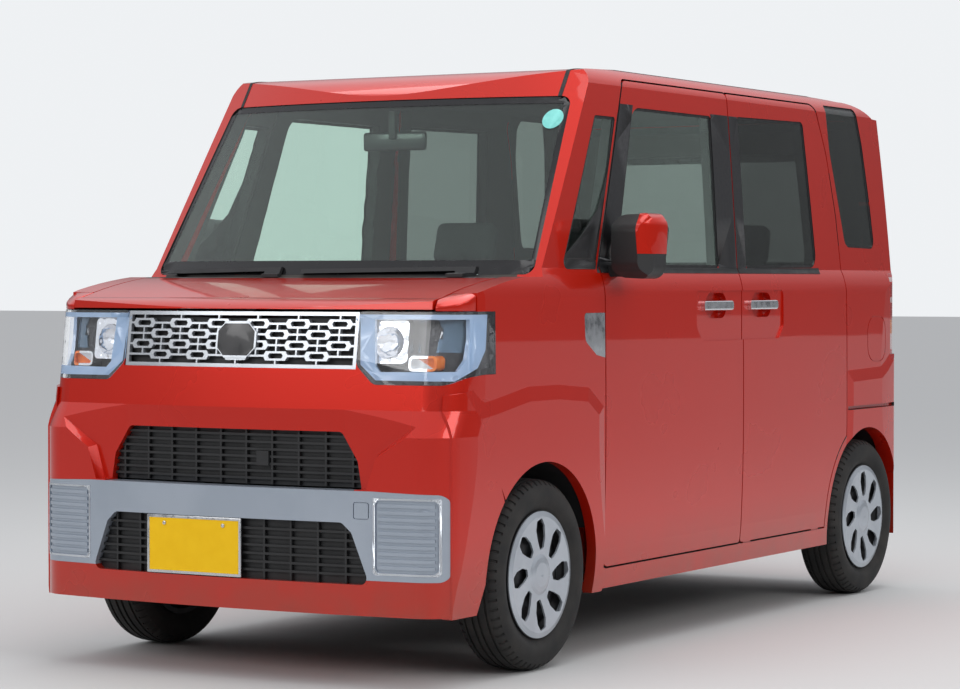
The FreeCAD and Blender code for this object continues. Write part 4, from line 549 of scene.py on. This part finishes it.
# Bumper garnish and intake mesh
# The garnish is moulded in satin silver and clipped to the bumper. Each ribbed pad has a raised
# border. Black mesh closes the openings behind it, with a square sensor window in the upper one.

dress("bumper_garnish", silver)
dress("bumper_mesh", black_plastic)
PAD_BORDER = [
    (0.501, 0.541), (0.697, 0.541), (0.697, 0.330), (0.690, 0.323), (0.508, 0.323), (0.501, 0.330),
]
PAD_FIELD = [
    (0.507, 0.526), (0.516, 0.535), (0.682, 0.535), (0.691, 0.526), (0.691, 0.338), (0.682, 0.329),
    (0.516, 0.329), (0.507, 0.338),
]
borders = skin(
    "bumper_garnish", [PAD_BORDER, PAD_FIELD], FRONT_VIEW,
    lambda place, normal: normal.y < -0.6
    and within(PAD_BORDER, mirrored(place), FRONT_VIEW)
    and not within(PAD_FIELD, mirrored(place), FRONT_VIEW),
    0.0016,
)
finish_piece(borders, "pad_borders", bright_silver)

# Lamps
# A headlamp is a black bowl with a chromed reflector, a projector in a blue-grey bezel and a turn
# lamp below it. A pale light guide runs round the bowl, just behind the clear moulded cover.

lamp_black = new_material("lamp_bowl_black", (0.020, 0.019, 0.022), 0.32)
roughen(lamp_black, 20, 0.25, 0.4)
mirror_chrome = new_material("reflector_chrome", (0.86, 0.87, 0.90), 0.06, metallic=1.0)
roughen(mirror_chrome, 50, 0.03, 0.12)
grain(mirror_chrome, 45, 0.004, 0.5)
projector_glass = new_material("projector_glass", (0.20, 0.27, 0.34), 0.05, metallic=0.5, coat=1.0)
mottle(projector_glass, 40, (0.17, 0.23, 0.30), (0.24, 0.32, 0.40))
bezel_blue = new_material("blue_grey_bezel", (0.10, 0.16, 0.22), 0.25, metallic=0.5)
mottle(bezel_blue, 30, (0.085, 0.14, 0.19), (0.12, 0.18, 0.25))
turn_clear = new_material("turn_lamp_silver", (0.75, 0.77, 0.78), 0.18, metallic=0.8)
roughen(turn_clear, 60, 0.12, 0.25)
turn_amber = new_material("turn_lamp_amber", (0.80, 0.17, 0.015), 0.2, coat=0.5)
mottle(turn_amber, 60, (0.72, 0.13, 0.01), (0.86, 0.22, 0.02))
guide_blue = new_material("pale_light_guide", (0.36, 0.50, 0.70), 0.22, coat=1.0)
mottle(guide_blue, 10, (0.33, 0.47, 0.67), (0.40, 0.54, 0.74))
lens = glass_material("clear_lamp_cover", (0.97, 0.98, 1.0))

REFLECTOR_X = (0.437, 0.559)
REFLECTOR_Z = (0.915, 1.043)
PROJECTOR = (0.600, 1.003)
PROJECTOR_R = 0.0385
DOME_R = 0.031
TURN_X = (0.559, 0.649)
TURN_Z = (0.893, 0.943)
AMBER_X = 0.607

dress("headlamps", lamp_black, mirror_chrome, projector_glass, turn_clear, turn_amber)
dress("headlamp_lenses", lens)


def inside_box(corners, wide, high):
    return all(wide[0] < x < wide[1] and high[0] < z < high[1] for x, z in corners)


def lamp_part(corners, middle):
    """The finish of a face of the lamp body, by the places of its corners in front view."""
    off_projector = max(math.hypot(x - PROJECTOR[0], z - PROJECTOR[1]) for x, z in corners)
    if off_projector < PROJECTOR_R:
        return 2 if off_projector < DOME_R else 3
    if inside_box(corners, REFLECTOR_X, REFLECTOR_Z):
        return 1
    if inside_box(corners, TURN_X, TURN_Z):
        return 4 if middle > AMBER_X else 3
    return 0


lamp_mesh = nodes["headlamps"].data
for face in lamp_mesh.polygons:
    places = [lamp_mesh.vertices[index].co for index in face.vertices]
    face.material_index = lamp_part([(abs(place.x), place.z) for place in places], abs(face.center.x))

# The light guide's outlines, seen along the camera's sideways direction and upwards, so that it
# runs round the lamp's front and outer side as one band
LAMP_TURN = math.radians(30.257)
LAMP_VIEW = (Vector((math.cos(LAMP_TURN), math.sin(LAMP_TURN), 0)), UP)
GUIDE_OUTER = [
    (-0.447, 1.057), (-0.447, 0.914), (-0.403, 0.870), (-0.180, 0.869),
    (-0.118, 0.905), (-0.096, 0.955), (-0.091, 1.057),
]
GUIDE_INNER = [
    (-0.405, 1.043), (-0.405, 0.912), (-0.390, 0.894), (-0.175, 0.896),
    (-0.150, 0.928), (-0.140, 0.985), (-0.140, 1.043),
]
GUIDE_DEPTH = 0.014
GUIDE_BEHIND = 0.0004


def guide_band(place, normal):
    if place.x < 0 or normal.y < 0.2 and normal.x > -0.5:
        return False
    return within(GUIDE_OUTER, place, LAMP_VIEW) and not within(GUIDE_INNER, place, LAMP_VIEW)


def turn_outwards(piece):
    """Turns the faces of a closed piece to look outwards."""
    take_up(piece)
    bpy.ops.object.mode_set(mode="EDIT")
    bpy.ops.mesh.select_all(action="SELECT")
    bpy.ops.mesh.normals_make_consistent(inside=False)
    bpy.ops.object.mode_set(mode="OBJECT")


def mirrored_twin(piece):
    """A copy on the car's right side, with its faces turned back outwards."""
    take_up(piece)
    bpy.ops.object.duplicate()
    twin = bpy.context.object
    twin.scale.x = -1
    bpy.ops.object.transform_apply(location=True, rotation=True, scale=True)
    turn_outwards(twin)
    return twin


guide = skin(
    "headlamp_lenses", [GUIDE_OUTER, GUIDE_INNER], LAMP_VIEW, guide_band, GUIDE_DEPTH, lift=-GUIDE_BEHIND,
)
guide_twin = mirrored_twin(guide)
finish_piece(guide, "light_guide_left", guide_blue)
finish_piece(guide_twin, "light_guide_right", guide_blue)

BEZEL = [(0.566, 0.948), (0.690, 0.948), (0.690, 1.043), (0.566, 1.043)]


def bezel_field(place, normal):
    spot = mirrored(place)
    off = math.hypot(spot.x - PROJECTOR[0], spot.z - PROJECTOR[1])
    return normal.y < -0.6 and within(BEZEL, spot, FRONT_VIEW) and off > PROJECTOR_R


bezel = skin("headlamps", [BEZEL], FRONT_VIEW, bezel_field, 0.004)
finish_piece(bezel, "projector_bezels", bezel_blue)

# Lamp top fillers
# The painted corner above each headlamp, ahead of the fender, carries the bonnet's slope outwards.

FILLER_INNER_X = 0.6425
FILLER_BACK_Y = -1.4705
FILLER_FLOOR_Z = 1.0664
FILLER_ROUNDING = 0.0035
# Round the outer edge from the bonnet's corner to the fender, as (x, y, height)
FILLER_EDGE = [
    (0.6425, -1.5680, 1.0800), (0.6720, -1.5590, 1.0825), (0.7010, -1.5320, 1.0880),
    (0.7160, -1.5010, 1.0990), (0.7215, -1.4705, 1.1120),
]
# The top's two corners beside the bonnet, then the one where it starts to slope to the fender's side
FILLER_TOP = [(0.6425, -1.5560, 1.0985), (0.6425, -1.4705, 1.1185), (0.7080, -1.4705, 1.1185)]


def lamp_filler(side, sign):
    """A closed corner piece: floor ring, outer edge, three top corners, bevelled all round."""
    floor_ring = [(x, y, FILLER_FLOOR_Z) for x, y, z in FILLER_EDGE]
    floor_ring.append((FILLER_INNER_X, FILLER_BACK_Y, FILLER_FLOOR_Z))
    count = len(FILLER_EDGE)
    places = floor_ring + FILLER_EDGE + FILLER_TOP
    corner = 2 * count + 1
    back = corner + 1
    outer = corner + 2
    faces = [list(range(count, -1, -1))]
    faces += [[step, step + 1, count + 2 + step, count + 1 + step] for step in range(count - 1)]
    edge = list(range(count + 1, 2 * count + 1))
    faces += [[corner] + edge[:3] + [outer], [outer] + edge[2:], [corner, outer, back]]
    faces += [[count, 0, edge[0], corner, back], [count - 1, count, back, outer, edge[-1]]]
    mesh = bpy.data.meshes.new("lamp_filler")
    mesh.from_pydata([(x * sign, y, z) for x, y, z in places], [], faces)
    piece = bpy.data.objects.new("lamp_filler", mesh)
    bpy.context.scene.collection.objects.link(piece)
    turn_outwards(piece)
    modify(piece, "BEVEL", width=FILLER_ROUNDING, segments=3, limit_method="ANGLE")
    finish_piece(piece, "lamp_filler_" + side, paint, angle=50)


lamp_filler("left", 1)
lamp_filler("right", -1)

# Tail lamps
# Tall red covers with a clear reversing band and an amber band low down, ribbed on the inside.

lamp_red = new_material("red_lamp_cover", (0.45, 0.01, 0.01), 0.12, coat=1.0)
tree = lamp_red.node_tree
place_node = tree.nodes.new("ShaderNodeTexCoord")
split_node = tree.nodes.new("ShaderNodeSeparateXYZ")
height_node = tree.nodes.new("ShaderNodeMapRange")
height_node.inputs["From Min"].default_value = 0.858
height_node.inputs["From Max"].default_value = 1.182
tree.links.new(place_node.outputs["Object"], split_node.inputs["Vector"])
tree.links.new(split_node.outputs["Z"], height_node.inputs["Value"])
RED = (0.42, 0.010, 0.010)
CLEAR = (0.62, 0.45, 0.45)
AMBER = (0.60, 0.16, 0.03)
bands = ramp(lamp_red, height_node.outputs["Result"], [
    (0.0, RED), (0.12, CLEAR), (0.30, AMBER), (0.46, RED),
    (0.66, CLEAR), (0.72, RED), (0.90, CLEAR), (0.95, RED),
])
bands.node.color_ramp.interpolation = "CONSTANT"
feed(lamp_red, "Base Color", bands)
grain(lamp_red, 260, 0.0004, 0, (0.02, 0.02, 1))
dress("tail_lamps", lamp_red)

# Plates, mirrors, handles and wipers
# The number plate is blank yellow steel in a pressed aluminium frame, held by two bolts. Mirror
# shells are black with a painted outer cap. Handles and fender garnishes are chromed.

plate_yellow = new_material("blank_yellow_plate", (0.98, 0.58, 0.006), 0.5)
plate_yellow.node_tree.nodes["Principled BSDF"].inputs["Specular IOR Level"].default_value = 0.2
mottle(plate_yellow, 20, (0.96, 0.56, 0.006), (1.0, 0.60, 0.010))
plate_steel = new_material("plate_steel", (0.62, 0.63, 0.64), 0.3, metallic=0.9)
roughen(plate_steel, 60, 0.22, 0.4)
chrome = new_material("chrome_plate", (0.78, 0.80, 0.83), 0.12, metallic=1.0)
roughen(chrome, 30, 0.07, 0.18)
dress("front_plate", plate_yellow)
dress("fender_garnishes", chrome)
for side in ("left", "right"):
    dress("door_" + side + "_mirror", black_plastic)
    dress("door_" + side + "_handle", chrome)
dress("sliding_door_handles", chrome)
dress("front_wipers", black_plastic)

PLATE_X = (-0.269, 0.061)
PLATE_Z = (0.2985, 0.4635)
PLATE_FACE_Y = -1.6955
FRAME_WIDTH = 0.007


def box_piece(low, high, bevel=0.0, segments=2):
    """A bevelled block between two corners, added as a cube and shaped in place."""
    bpy.ops.object.select_all(action="DESELECT")
    middle = [(a + b) / 2 for a, b in zip(low, high)]
    bpy.ops.mesh.primitive_cube_add(size=1, location=middle)
    piece = bpy.context.object
    piece.scale = [b - a for a, b in zip(low, high)]
    bpy.ops.object.transform_apply(location=True, rotation=True, scale=True)
    if bevel:
        modify(piece, "BEVEL", width=bevel, segments=segments, limit_method="ANGLE")
    return piece


plate_frame = box_piece(
    (PLATE_X[0] - 0.003, PLATE_FACE_Y - 0.0012, PLATE_Z[0] - 0.003),
    (PLATE_X[1] + 0.003, PLATE_FACE_Y + 0.004, PLATE_Z[1] + 0.003),
    0.0012,
)
select_faces(plate_frame, lambda face: face.normal.y < -0.99)
bpy.ops.mesh.inset(thickness=FRAME_WIDTH)
bpy.ops.mesh.inset(thickness=0.0006, depth=-0.004)
bpy.ops.mesh.delete(type="FACE")
bpy.ops.object.mode_set(mode="OBJECT")
drop_faces(plate_frame, lambda face: face.normal.y > 0.99)
finish_piece(plate_frame, "plate_frame", plate_steel)

BOLT_X = (-0.209, 0.001)
BOLT_Z = 0.443
for number, x in enumerate(BOLT_X):
    bpy.ops.object.select_all(action="DESELECT")
    bpy.ops.mesh.primitive_cylinder_add(
        vertices=6, radius=0.0065, depth=0.006,
        location=(x, PLATE_FACE_Y - 0.0005, BOLT_Z), rotation=(math.pi / 2, 0, 0),
    )
    bolt = bpy.context.object
    modify(bolt, "BEVEL", width=0.0012, segments=2, limit_method="ANGLE")
    finish_piece(bolt, "plate_bolt_%d" % (number + 1), plate_steel)

CAP_X = 0.838
CAP_Z = 1.236
CAP_OUTLINE = [(CAP_X, CAP_Z), (0.900, CAP_Z), (0.900, 1.380), (CAP_X - 0.012, 1.380)]
GLASS_OUTLINE = [(0.768, 1.182), (0.866, 1.176), (0.868, 1.326), (0.860, 1.344), (0.768, 1.342)]
mirror_glass = new_material("mirror_glass", (0.75, 0.78, 0.80), 0.02, metallic=1.0)
roughen(mirror_glass, 20, 0.015, 0.04)
for side in ("left", "right"):
    node = "door_" + side + "_mirror"
    body = "front_door_" + side
    cap = skin(
        node, [CAP_OUTLINE], FRONT_VIEW,
        lambda place, normal: normal.y < 0.7 and within(CAP_OUTLINE, mirrored(place), FRONT_VIEW),
        0.0012,
    )
    finish_piece(cap, "mirror_cap_" + side, paint, body)
    pane = skin(
        node, [GLASS_OUTLINE], FRONT_VIEW,
        lambda place, normal: normal.y > 0.8 and within(GLASS_OUTLINE, mirrored(place), FRONT_VIEW),
        0.0012,
    )
    finish_piece(pane, "mirror_pane_" + side, mirror_glass, body)

# Wheels
# Snap-on covers in bright silver over black pressed steel wheels, which show through the openings.

cover_silver = new_material("silver_wheel_cover", (0.50, 0.54, 0.59), 0.26, metallic=0.5)
mottle(cover_silver, 10, (0.47, 0.51, 0.56), (0.53, 0.57, 0.62))
wheel_steel = new_material("black_wheel_steel", (0.018, 0.018, 0.020), 0.5, metallic=0.3)
roughen(wheel_steel, 30, 0.42, 0.6)
TRACK_X = 0.648
HUB_Z = 0.284
AXLE_Y = {"front": -1.090, "rear": 1.365}
COVER_BACK = 0.0575
COVER_EDGE_R = 0.1885
WHEELS = [(end, side) for end in ("front", "rear") for side in ("left", "right")]

for end, side in WHEELS:
    name = "wheel_" + end + "_" + side
    dress(name, cover_silver, wheel_steel)
    for face in nodes[name].data.polygons:
        radius = math.hypot(face.center.y - AXLE_Y[end], face.center.z - HUB_Z)
        shown = abs(face.center.x) - TRACK_X > COVER_BACK and radius < COVER_EDGE_R
        face.material_index = 0 if shown else 1

# Tyres
# Radial tyres, dusty brown-black: ribbed tread with cross slots at the shoulders, and plain
# bulged sidewalls with a rim line. The section is spun about the axle.

tyre_rubber = new_material("tyre_rubber", (0.016, 0.015, 0.015), 0.8)
mottle(tyre_rubber, 14, (0.013, 0.013, 0.013), (0.026, 0.024, 0.022))
grain(tyre_rubber, 600, 0.0003)
# Half the section from the bead to the crown, in (x from the wheel's middle, radius)
TYRE_HALF = [
    (0.0575, 0.1785), (0.0590, 0.1900), (0.0620, 0.1960), (0.0665, 0.2010), (0.0672, 0.2030),
    (0.0735, 0.2120), (0.0775, 0.2230), (0.0788, 0.2340), (0.0780, 0.2450), (0.0755, 0.2560),
    (0.0718, 0.2650), (0.0664, 0.2712), (0.0610, 0.2765), (0.0540, 0.2798), (0.0480, 0.2812),
    (0.0420, 0.2820), (0.0414, 0.2765), (0.0350, 0.2770), (0.0344, 0.2826), (0.0200, 0.2834),
    (0.0150, 0.2836), (0.0144, 0.2775), (0.0070, 0.2778), (0.0064, 0.2838),
]
TYRE_STEPS = 180
SLOT_EVERY = 3


def tyre(name, end, side):
    section = TYRE_HALF + [(-x, r) for x, r in reversed(TYRE_HALF)]
    bpy.ops.object.select_all(action="DESELECT")
    bpy.ops.mesh.primitive_circle_add(vertices=len(section), radius=1)
    piece = bpy.context.object
    for vertex, (x, r) in zip(piece.data.vertices, section):
        vertex.co = (x, 0, r)
    bpy.ops.object.mode_set(mode="EDIT")
    bpy.ops.mesh.select_all(action="SELECT")
    bpy.ops.mesh.spin(steps=TYRE_STEPS, angle=math.tau, center=(0, 0, 0), axis=(1, 0, 0))
    bpy.ops.mesh.select_all(action="SELECT")
    bpy.ops.mesh.remove_doubles(threshold=0.00005)
    bpy.ops.mesh.normals_make_consistent(inside=False)
    bpy.ops.object.mode_set(mode="OBJECT")

    def shoulder_slot(face):
        step = int((math.atan2(face.center.y, face.center.z) / math.tau + 1) * TYRE_STEPS)
        x = abs(face.center.x)
        radius = math.hypot(face.center.y, face.center.z)
        turn = 0 if face.center.x > 0 else 1
        return 0.046 < x < 0.071 and radius > 0.262 and step % SLOT_EVERY == turn

    select_faces(piece, shoulder_slot)
    bpy.ops.mesh.inset(thickness=0.0022, depth=-0.0040)
    bpy.ops.object.mode_set(mode="OBJECT")
    piece.location = (math.copysign(TRACK_X, 1 if side == "left" else -1), AXLE_Y[end], HUB_Z)
    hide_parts(name)
    return finish_piece(piece, "treaded_" + name, tyre_rubber, "wheel_" + end + "_" + side, 35)


for end, side in WHEELS:
    tyre("tyre_" + end + "_" + side, end, side)

# Running gear, engine and floor
# Painted steel arms, axle and floor, cast aluminium engine, and moulded liners and tank.

dress("wheelhouses", black_plastic)
chassis_black = new_material("chassis_black", (0.03, 0.03, 0.032), 0.55, metallic=0.3)
mottle(chassis_black, 8, (0.022, 0.022, 0.024), (0.06, 0.052, 0.045))
grain(chassis_black, 300, 0.0003)
cast_metal = new_material("cast_aluminium", (0.42, 0.42, 0.42), 0.5, metallic=0.9)
mottle(cast_metal, 12, (0.34, 0.34, 0.34), (0.48, 0.48, 0.48))
grain(cast_metal, 400, 0.0004)
CHASSIS = [
    "front_suspension", "rear_axle", "knuckle_left", "knuckle_right", "steering_rack",
    "floor_pan", "firewall",
]
for name in CHASSIS:
    dress(name, chassis_black)
dress("engine", cast_metal)
dress("exhaust", cast_metal)
dress("radiator", black_plastic)
dress("fuel_tank", black_plastic)

# Dashboard, steering wheel and inside mirror
# One moulded dash with a dark screen, side vents and a hooded meter cluster. The inside mirror
# hangs from the top of the windscreen.

dress("dashboard", inner_trim)
dress("steering_wheel", black_plastic)
CLUSTER_X = (-0.455, -0.205)
hood = box_piece((CLUSTER_X[0], -0.860, 1.088), (CLUSTER_X[1], -0.700, 1.150), 0.022, 4)
select_faces(hood, lambda face: face.normal.y > 0.99)
bpy.ops.mesh.inset(thickness=0.010)
bpy.ops.mesh.inset(thickness=0.001, depth=-0.035)
bpy.ops.object.mode_set(mode="OBJECT")
finish_piece(hood, "meter_hood", inner_trim)
screen = box_piece((-0.110, -0.716, 0.975), (0.110, -0.676, 1.100), 0.006, 3)
select_faces(screen, lambda face: face.normal.y > 0.99)
bpy.ops.mesh.inset(thickness=0.008)
bpy.ops.mesh.inset(thickness=0.001, depth=-0.002)
bpy.ops.object.mode_set(mode="OBJECT")
finish_piece(screen, "centre_display", gloss_black)
for number, x in enumerate((-0.540, 0.540)):
    vent = box_piece((x - 0.055, -0.720, 1.000), (x + 0.055, -0.678, 1.070), 0.010, 3)
    select_faces(vent, lambda face: face.normal.y > 0.99)
    bpy.ops.mesh.inset(thickness=0.007)
    bpy.ops.mesh.inset(thickness=0.001, depth=-0.012)
    bpy.ops.object.mode_set(mode="OBJECT")
    finish_piece(vent, "dash_vent_%d" % (number + 1), black_plastic)
inside_mirror = box_piece((-0.115, -0.760, 1.565), (0.115, -0.735, 1.625), 0.010, 4)
finish_piece(inside_mirror, "inside_mirror", gloss_black)
mirror_stem = box_piece((-0.012, -0.770, 1.600), (0.012, -0.742, 1.690), 0.004, 3)
finish_piece(mirror_stem, "inside_mirror_stem", black_plastic)

# Seats
# Foam cushions under woven charcoal cloth on black plinths: two seats in front, two behind. Each
# kind of pad is stuffed once by a cloth simulation, copied, and sewn channels are drawn in.

seat_cloth = new_material("woven_seat_cloth", (0.045, 0.045, 0.05), 0.92)
mottle(seat_cloth, 500, (0.030, 0.030, 0.034), (0.065, 0.065, 0.072))
grain(seat_cloth, 900, 0.0006)

VOXEL = 0.006
PRESSURE = 4.0
SWELL_CAP = 0.010
SWELL_FRAMES = 20
SHRINK = 0.008
# A pad's section in side view, from the seat's hip point, as (y, z) corners in order
CUSHION = [(-0.392, 0.508), (0.100, 0.478), (0.100, 0.592), (-0.392, 0.630)]
BACKREST = [(0.070, 0.610), (0.162, 0.540), (0.320, 1.155), (0.240, 1.180)]
HEADREST = [(0.243, 1.222), (0.320, 1.204), (0.354, 1.344), (0.286, 1.366)]
CHANNEL_DEPTH = 0.007
CHANNEL_WIDTH = 0.010
PLINTH_MARGIN = 0.05
PLINTH_Z = (0.226, 0.500)


def stuffed(section, half, bevel):
    """A padded block about the hip point: bevelled, remeshed, blown up as cloth and capped."""
    pad = box_piece((-half, 0, 0), (half, 1, 1))
    corners = {(0, 0): section[0], (1, 0): section[1], (1, 1): section[2], (0, 1): section[3]}
    for vertex in pad.data.vertices:
        y, z = corners[(round(vertex.co.y), round(vertex.co.z))]
        vertex.co.y = y
        vertex.co.z = z
    modify(pad, "BEVEL", width=bevel, segments=5, limit_method="NONE")
    modify(pad, "REMESH", mode="VOXEL", voxel_size=VOXEL)
    start = [vertex.co.copy() for vertex in pad.data.vertices]
    take_up(pad)
    cloth = pad.modifiers.new("cloth", "CLOTH")
    cloth.settings.quality = 3
    cloth.settings.mass = 0.3
    cloth.settings.use_pressure = True
    cloth.settings.uniform_pressure_force = PRESSURE
    cloth.settings.effector_weights.gravity = 0
    cloth.collision_settings.use_collision = False
    scene = bpy.context.scene
    for step in range(1, SWELL_FRAMES + 1):
        scene.frame_set(step)
    bpy.ops.object.modifier_apply(modifier=cloth.name)
    scene.frame_set(1)
    for vertex, rest in zip(pad.data.vertices, start):
        move = vertex.co - rest
        if move.length > SWELL_CAP:
            vertex.co = rest + move * (SWELL_CAP / move.length)
    return pad


def copied(master, x, hip_y, widened):
    """A copy of a stuffed pad at a seat's hip point."""
    take_up(master)
    bpy.ops.object.duplicate()
    pad = bpy.context.object
    pad.location = (x, hip_y, 0)
    pad.scale.x = widened
    bpy.ops.object.transform_apply(location=True, rotation=True, scale=True)
    return pad


def sewn(pad, distance):
    """Draws a pad's surface in along the lines where distance(place) is nought."""
    mesh = pad.data
    normals = [vertex.normal.copy() for vertex in mesh.vertices]
    for vertex, normal in zip(mesh.vertices, normals):
        off = distance(vertex.co) / CHANNEL_WIDTH
        vertex.co -= normal * (CHANNEL_DEPTH * math.exp(-off * off))


def seat(place, x, half, hip_y, plinth_y, node):
    """One seat's pads, headrest tubes and plinth."""
    bolster = half - 0.075
    for kind, master in PADS.items():
        pad = copied(master, x, hip_y, 1 if kind == "headrest" else half / FRONT_HALF)
        if kind != "headrest":
            sewn(pad, lambda co: abs(co.x - x) - bolster)
        if kind == "backrest":
            sewn(pad, lambda co: co.z - 0.93 if abs(co.x - x) < bolster else 1)
        if kind == "cushion":
            sewn(pad, lambda co: co.y - hip_y + 0.16 if abs(co.x - x) < bolster else 1)
        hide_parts(node)
        finish_piece(pad, kind + "_" + place, seat_cloth, angle=60)
    reach = half - PLINTH_MARGIN
    plinth = box_piece((x - reach, plinth_y[0], PLINTH_Z[0]), (x + reach, plinth_y[1], PLINTH_Z[1]), 0.012, 3)
    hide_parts(node)
    finish_piece(plinth, "seat_plinth_" + place, black_plastic)
    for number, d in enumerate((-0.060, 0.060)):
        bpy.ops.object.select_all(action="DESELECT")
        bpy.ops.mesh.primitive_cylinder_add(
            vertices=16, radius=0.006, depth=0.110,
            location=(x + d, hip_y + 0.288, 1.195), rotation=(-0.25, 0, 0),
        )
        post = bpy.context.object
        modify(post, "BEVEL", width=0.001, segments=2, limit_method="ANGLE")
        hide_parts(node)
        finish_piece(post, "headrest_post_%s_%d" % (place, number + 1), chrome)


FRONT_X = 0.335
FRONT_HALF = 0.245
FRONT_HIP_Y = -0.040
FRONT_PLINTH_Y = (FRONT_HIP_Y - 0.340, FRONT_HIP_Y + 0.080)
REAR_X = 0.318
REAR_HALF = 0.262
REAR_HIP_Y = 0.830
REAR_PLINTH_Y = (REAR_HIP_Y - 0.290, REAR_HIP_Y + 0.020)
BACKREST_SHRINK = 0.023
HEADREST_HALF = 0.117
PADS = {
    "cushion": stuffed(CUSHION, FRONT_HALF - SHRINK, 0.045),
    "backrest": stuffed(BACKREST, FRONT_HALF - BACKREST_SHRINK, 0.035),
    "headrest": stuffed(HEADREST, HEADREST_HALF, 0.028),
}
for side, sign in (("left", 1), ("right", -1)):
    seat("front_" + side, FRONT_X * sign, FRONT_HALF, FRONT_HIP_Y, FRONT_PLINTH_Y, "front_seats")
    seat("rear_" + side, REAR_X * sign, REAR_HALF, REAR_HIP_Y, REAR_PLINTH_Y, "rear_seats")
for master in PADS.values():
    bpy.data.objects.remove(master)

# Floor, light and camera
# A pale studio floor under an even sky. The camera stands where the photo was taken from.


def plain_plane(name, size, colour):
    bpy.ops.object.select_all(action="DESELECT")
    bpy.ops.mesh.primitive_plane_add(size=size, location=(0, 0, -0.001))
    plane = bpy.context.object
    plane.name = name
    plane.data.materials.append(new_material(name + "_paint", colour, 0.8))
    return plane


plain_plane("studio_floor", 160, (0.60, 0.60, 0.59))

world = bpy.data.worlds.new("studio_sky")
world.use_nodes = True
bpy.context.scene.world = world
sky = world.node_tree
for node in list(sky.nodes):
    sky.nodes.remove(node)
BACKDROP = (0.86, 0.88, 0.90)
# Sky brightness by height: the sine of the angle above the horizon, and the level there
SKY_LEVELS = [(0.0, 0.10), (0.12, 0.18), (0.45, 0.75), (1.0, 0.85)]
shown = sky.nodes.new("ShaderNodeBackground")
shown.inputs["Color"].default_value = (*BACKDROP, 1)
lit = sky.nodes.new("ShaderNodeBackground")
way = sky.nodes.new("ShaderNodeTexCoord")
height = sky.nodes.new("ShaderNodeSeparateXYZ")
levels = sky.nodes.new("ShaderNodeValToRGB")
while len(levels.color_ramp.elements) < len(SKY_LEVELS):
    levels.color_ramp.elements.new(0.5)
for element, (place, level) in zip(levels.color_ramp.elements, SKY_LEVELS):
    element.position = place
    element.color = (0.96 * level, 0.98 * level, 1.03 * level, 1)
sky.links.new(way.outputs["Generated"], height.inputs["Vector"])
sky.links.new(height.outputs["Z"], levels.inputs["Fac"])
sky.links.new(levels.outputs["Color"], lit.inputs["Color"])
path = sky.nodes.new("ShaderNodeLightPath")
seen = sky.nodes.new("ShaderNodeMath")
seen.operation = "MAXIMUM"
choose = sky.nodes.new("ShaderNodeMixShader")
output = sky.nodes.new("ShaderNodeOutputWorld")
sky.links.new(path.outputs["Is Camera Ray"], seen.inputs[0])
sky.links.new(path.outputs["Is Transmission Ray"], seen.inputs[1])
sky.links.new(seen.outputs["Value"], choose.inputs["Fac"])
sky.links.new(lit.outputs["Background"], choose.inputs[1])
sky.links.new(shown.outputs["Background"], choose.inputs[2])
sky.links.new(choose.outputs["Shader"], output.inputs["Surface"])


def soft_lamp(name, place, target, size, power):
    data = bpy.data.lights.new(name, "AREA")
    data.shape = "RECTANGLE"
    data.size = size[0]
    data.size_y = size[1]
    data.energy = power
    lamp = bpy.data.objects.new(name, data)
    bpy.context.scene.collection.objects.link(lamp)
    lamp.location = place
    lamp.rotation_euler = (Vector(target) - Vector(place)).to_track_quat("-Z", "Y").to_euler()


soft_lamp("overhead_panel", (0.5, 0.5, 6.0), (0, 0, 0.6), (7, 5), 190)
soft_lamp("side_panel", (7.0, -2.0, 3.8), (0, 0, 0.8), (5, 2), 100)
soft_lamp("front_panel", (-2.5, -7.5, 3.4), (0, -1, 0.7), (5, 2), 100)

CAMERA_PLACE = (4.84145, -8.51322, 1.15183)
CAMERA_AZIMUTH = 30.257
CAMERA_ELEVATION = 1.259
CAMERA_LENS = 107.78

azimuth = math.radians(CAMERA_AZIMUTH)
elevation = math.radians(CAMERA_ELEVATION)
look = Vector((
    -math.sin(azimuth) * math.cos(elevation),
    math.cos(azimuth) * math.cos(elevation),
    -math.sin(elevation),
))
camera_data = bpy.data.cameras.new("studio_camera")
camera_data.lens = CAMERA_LENS
camera_data.clip_end = 200
camera = bpy.data.objects.new("studio_camera", camera_data)
bpy.context.scene.collection.objects.link(camera)
camera.location = CAMERA_PLACE
camera.rotation_euler = look.to_track_quat("-Z", "Y").to_euler()
bpy.context.scene.camera = camera
bpy.context.scene.view_settings.view_transform = "Standard"
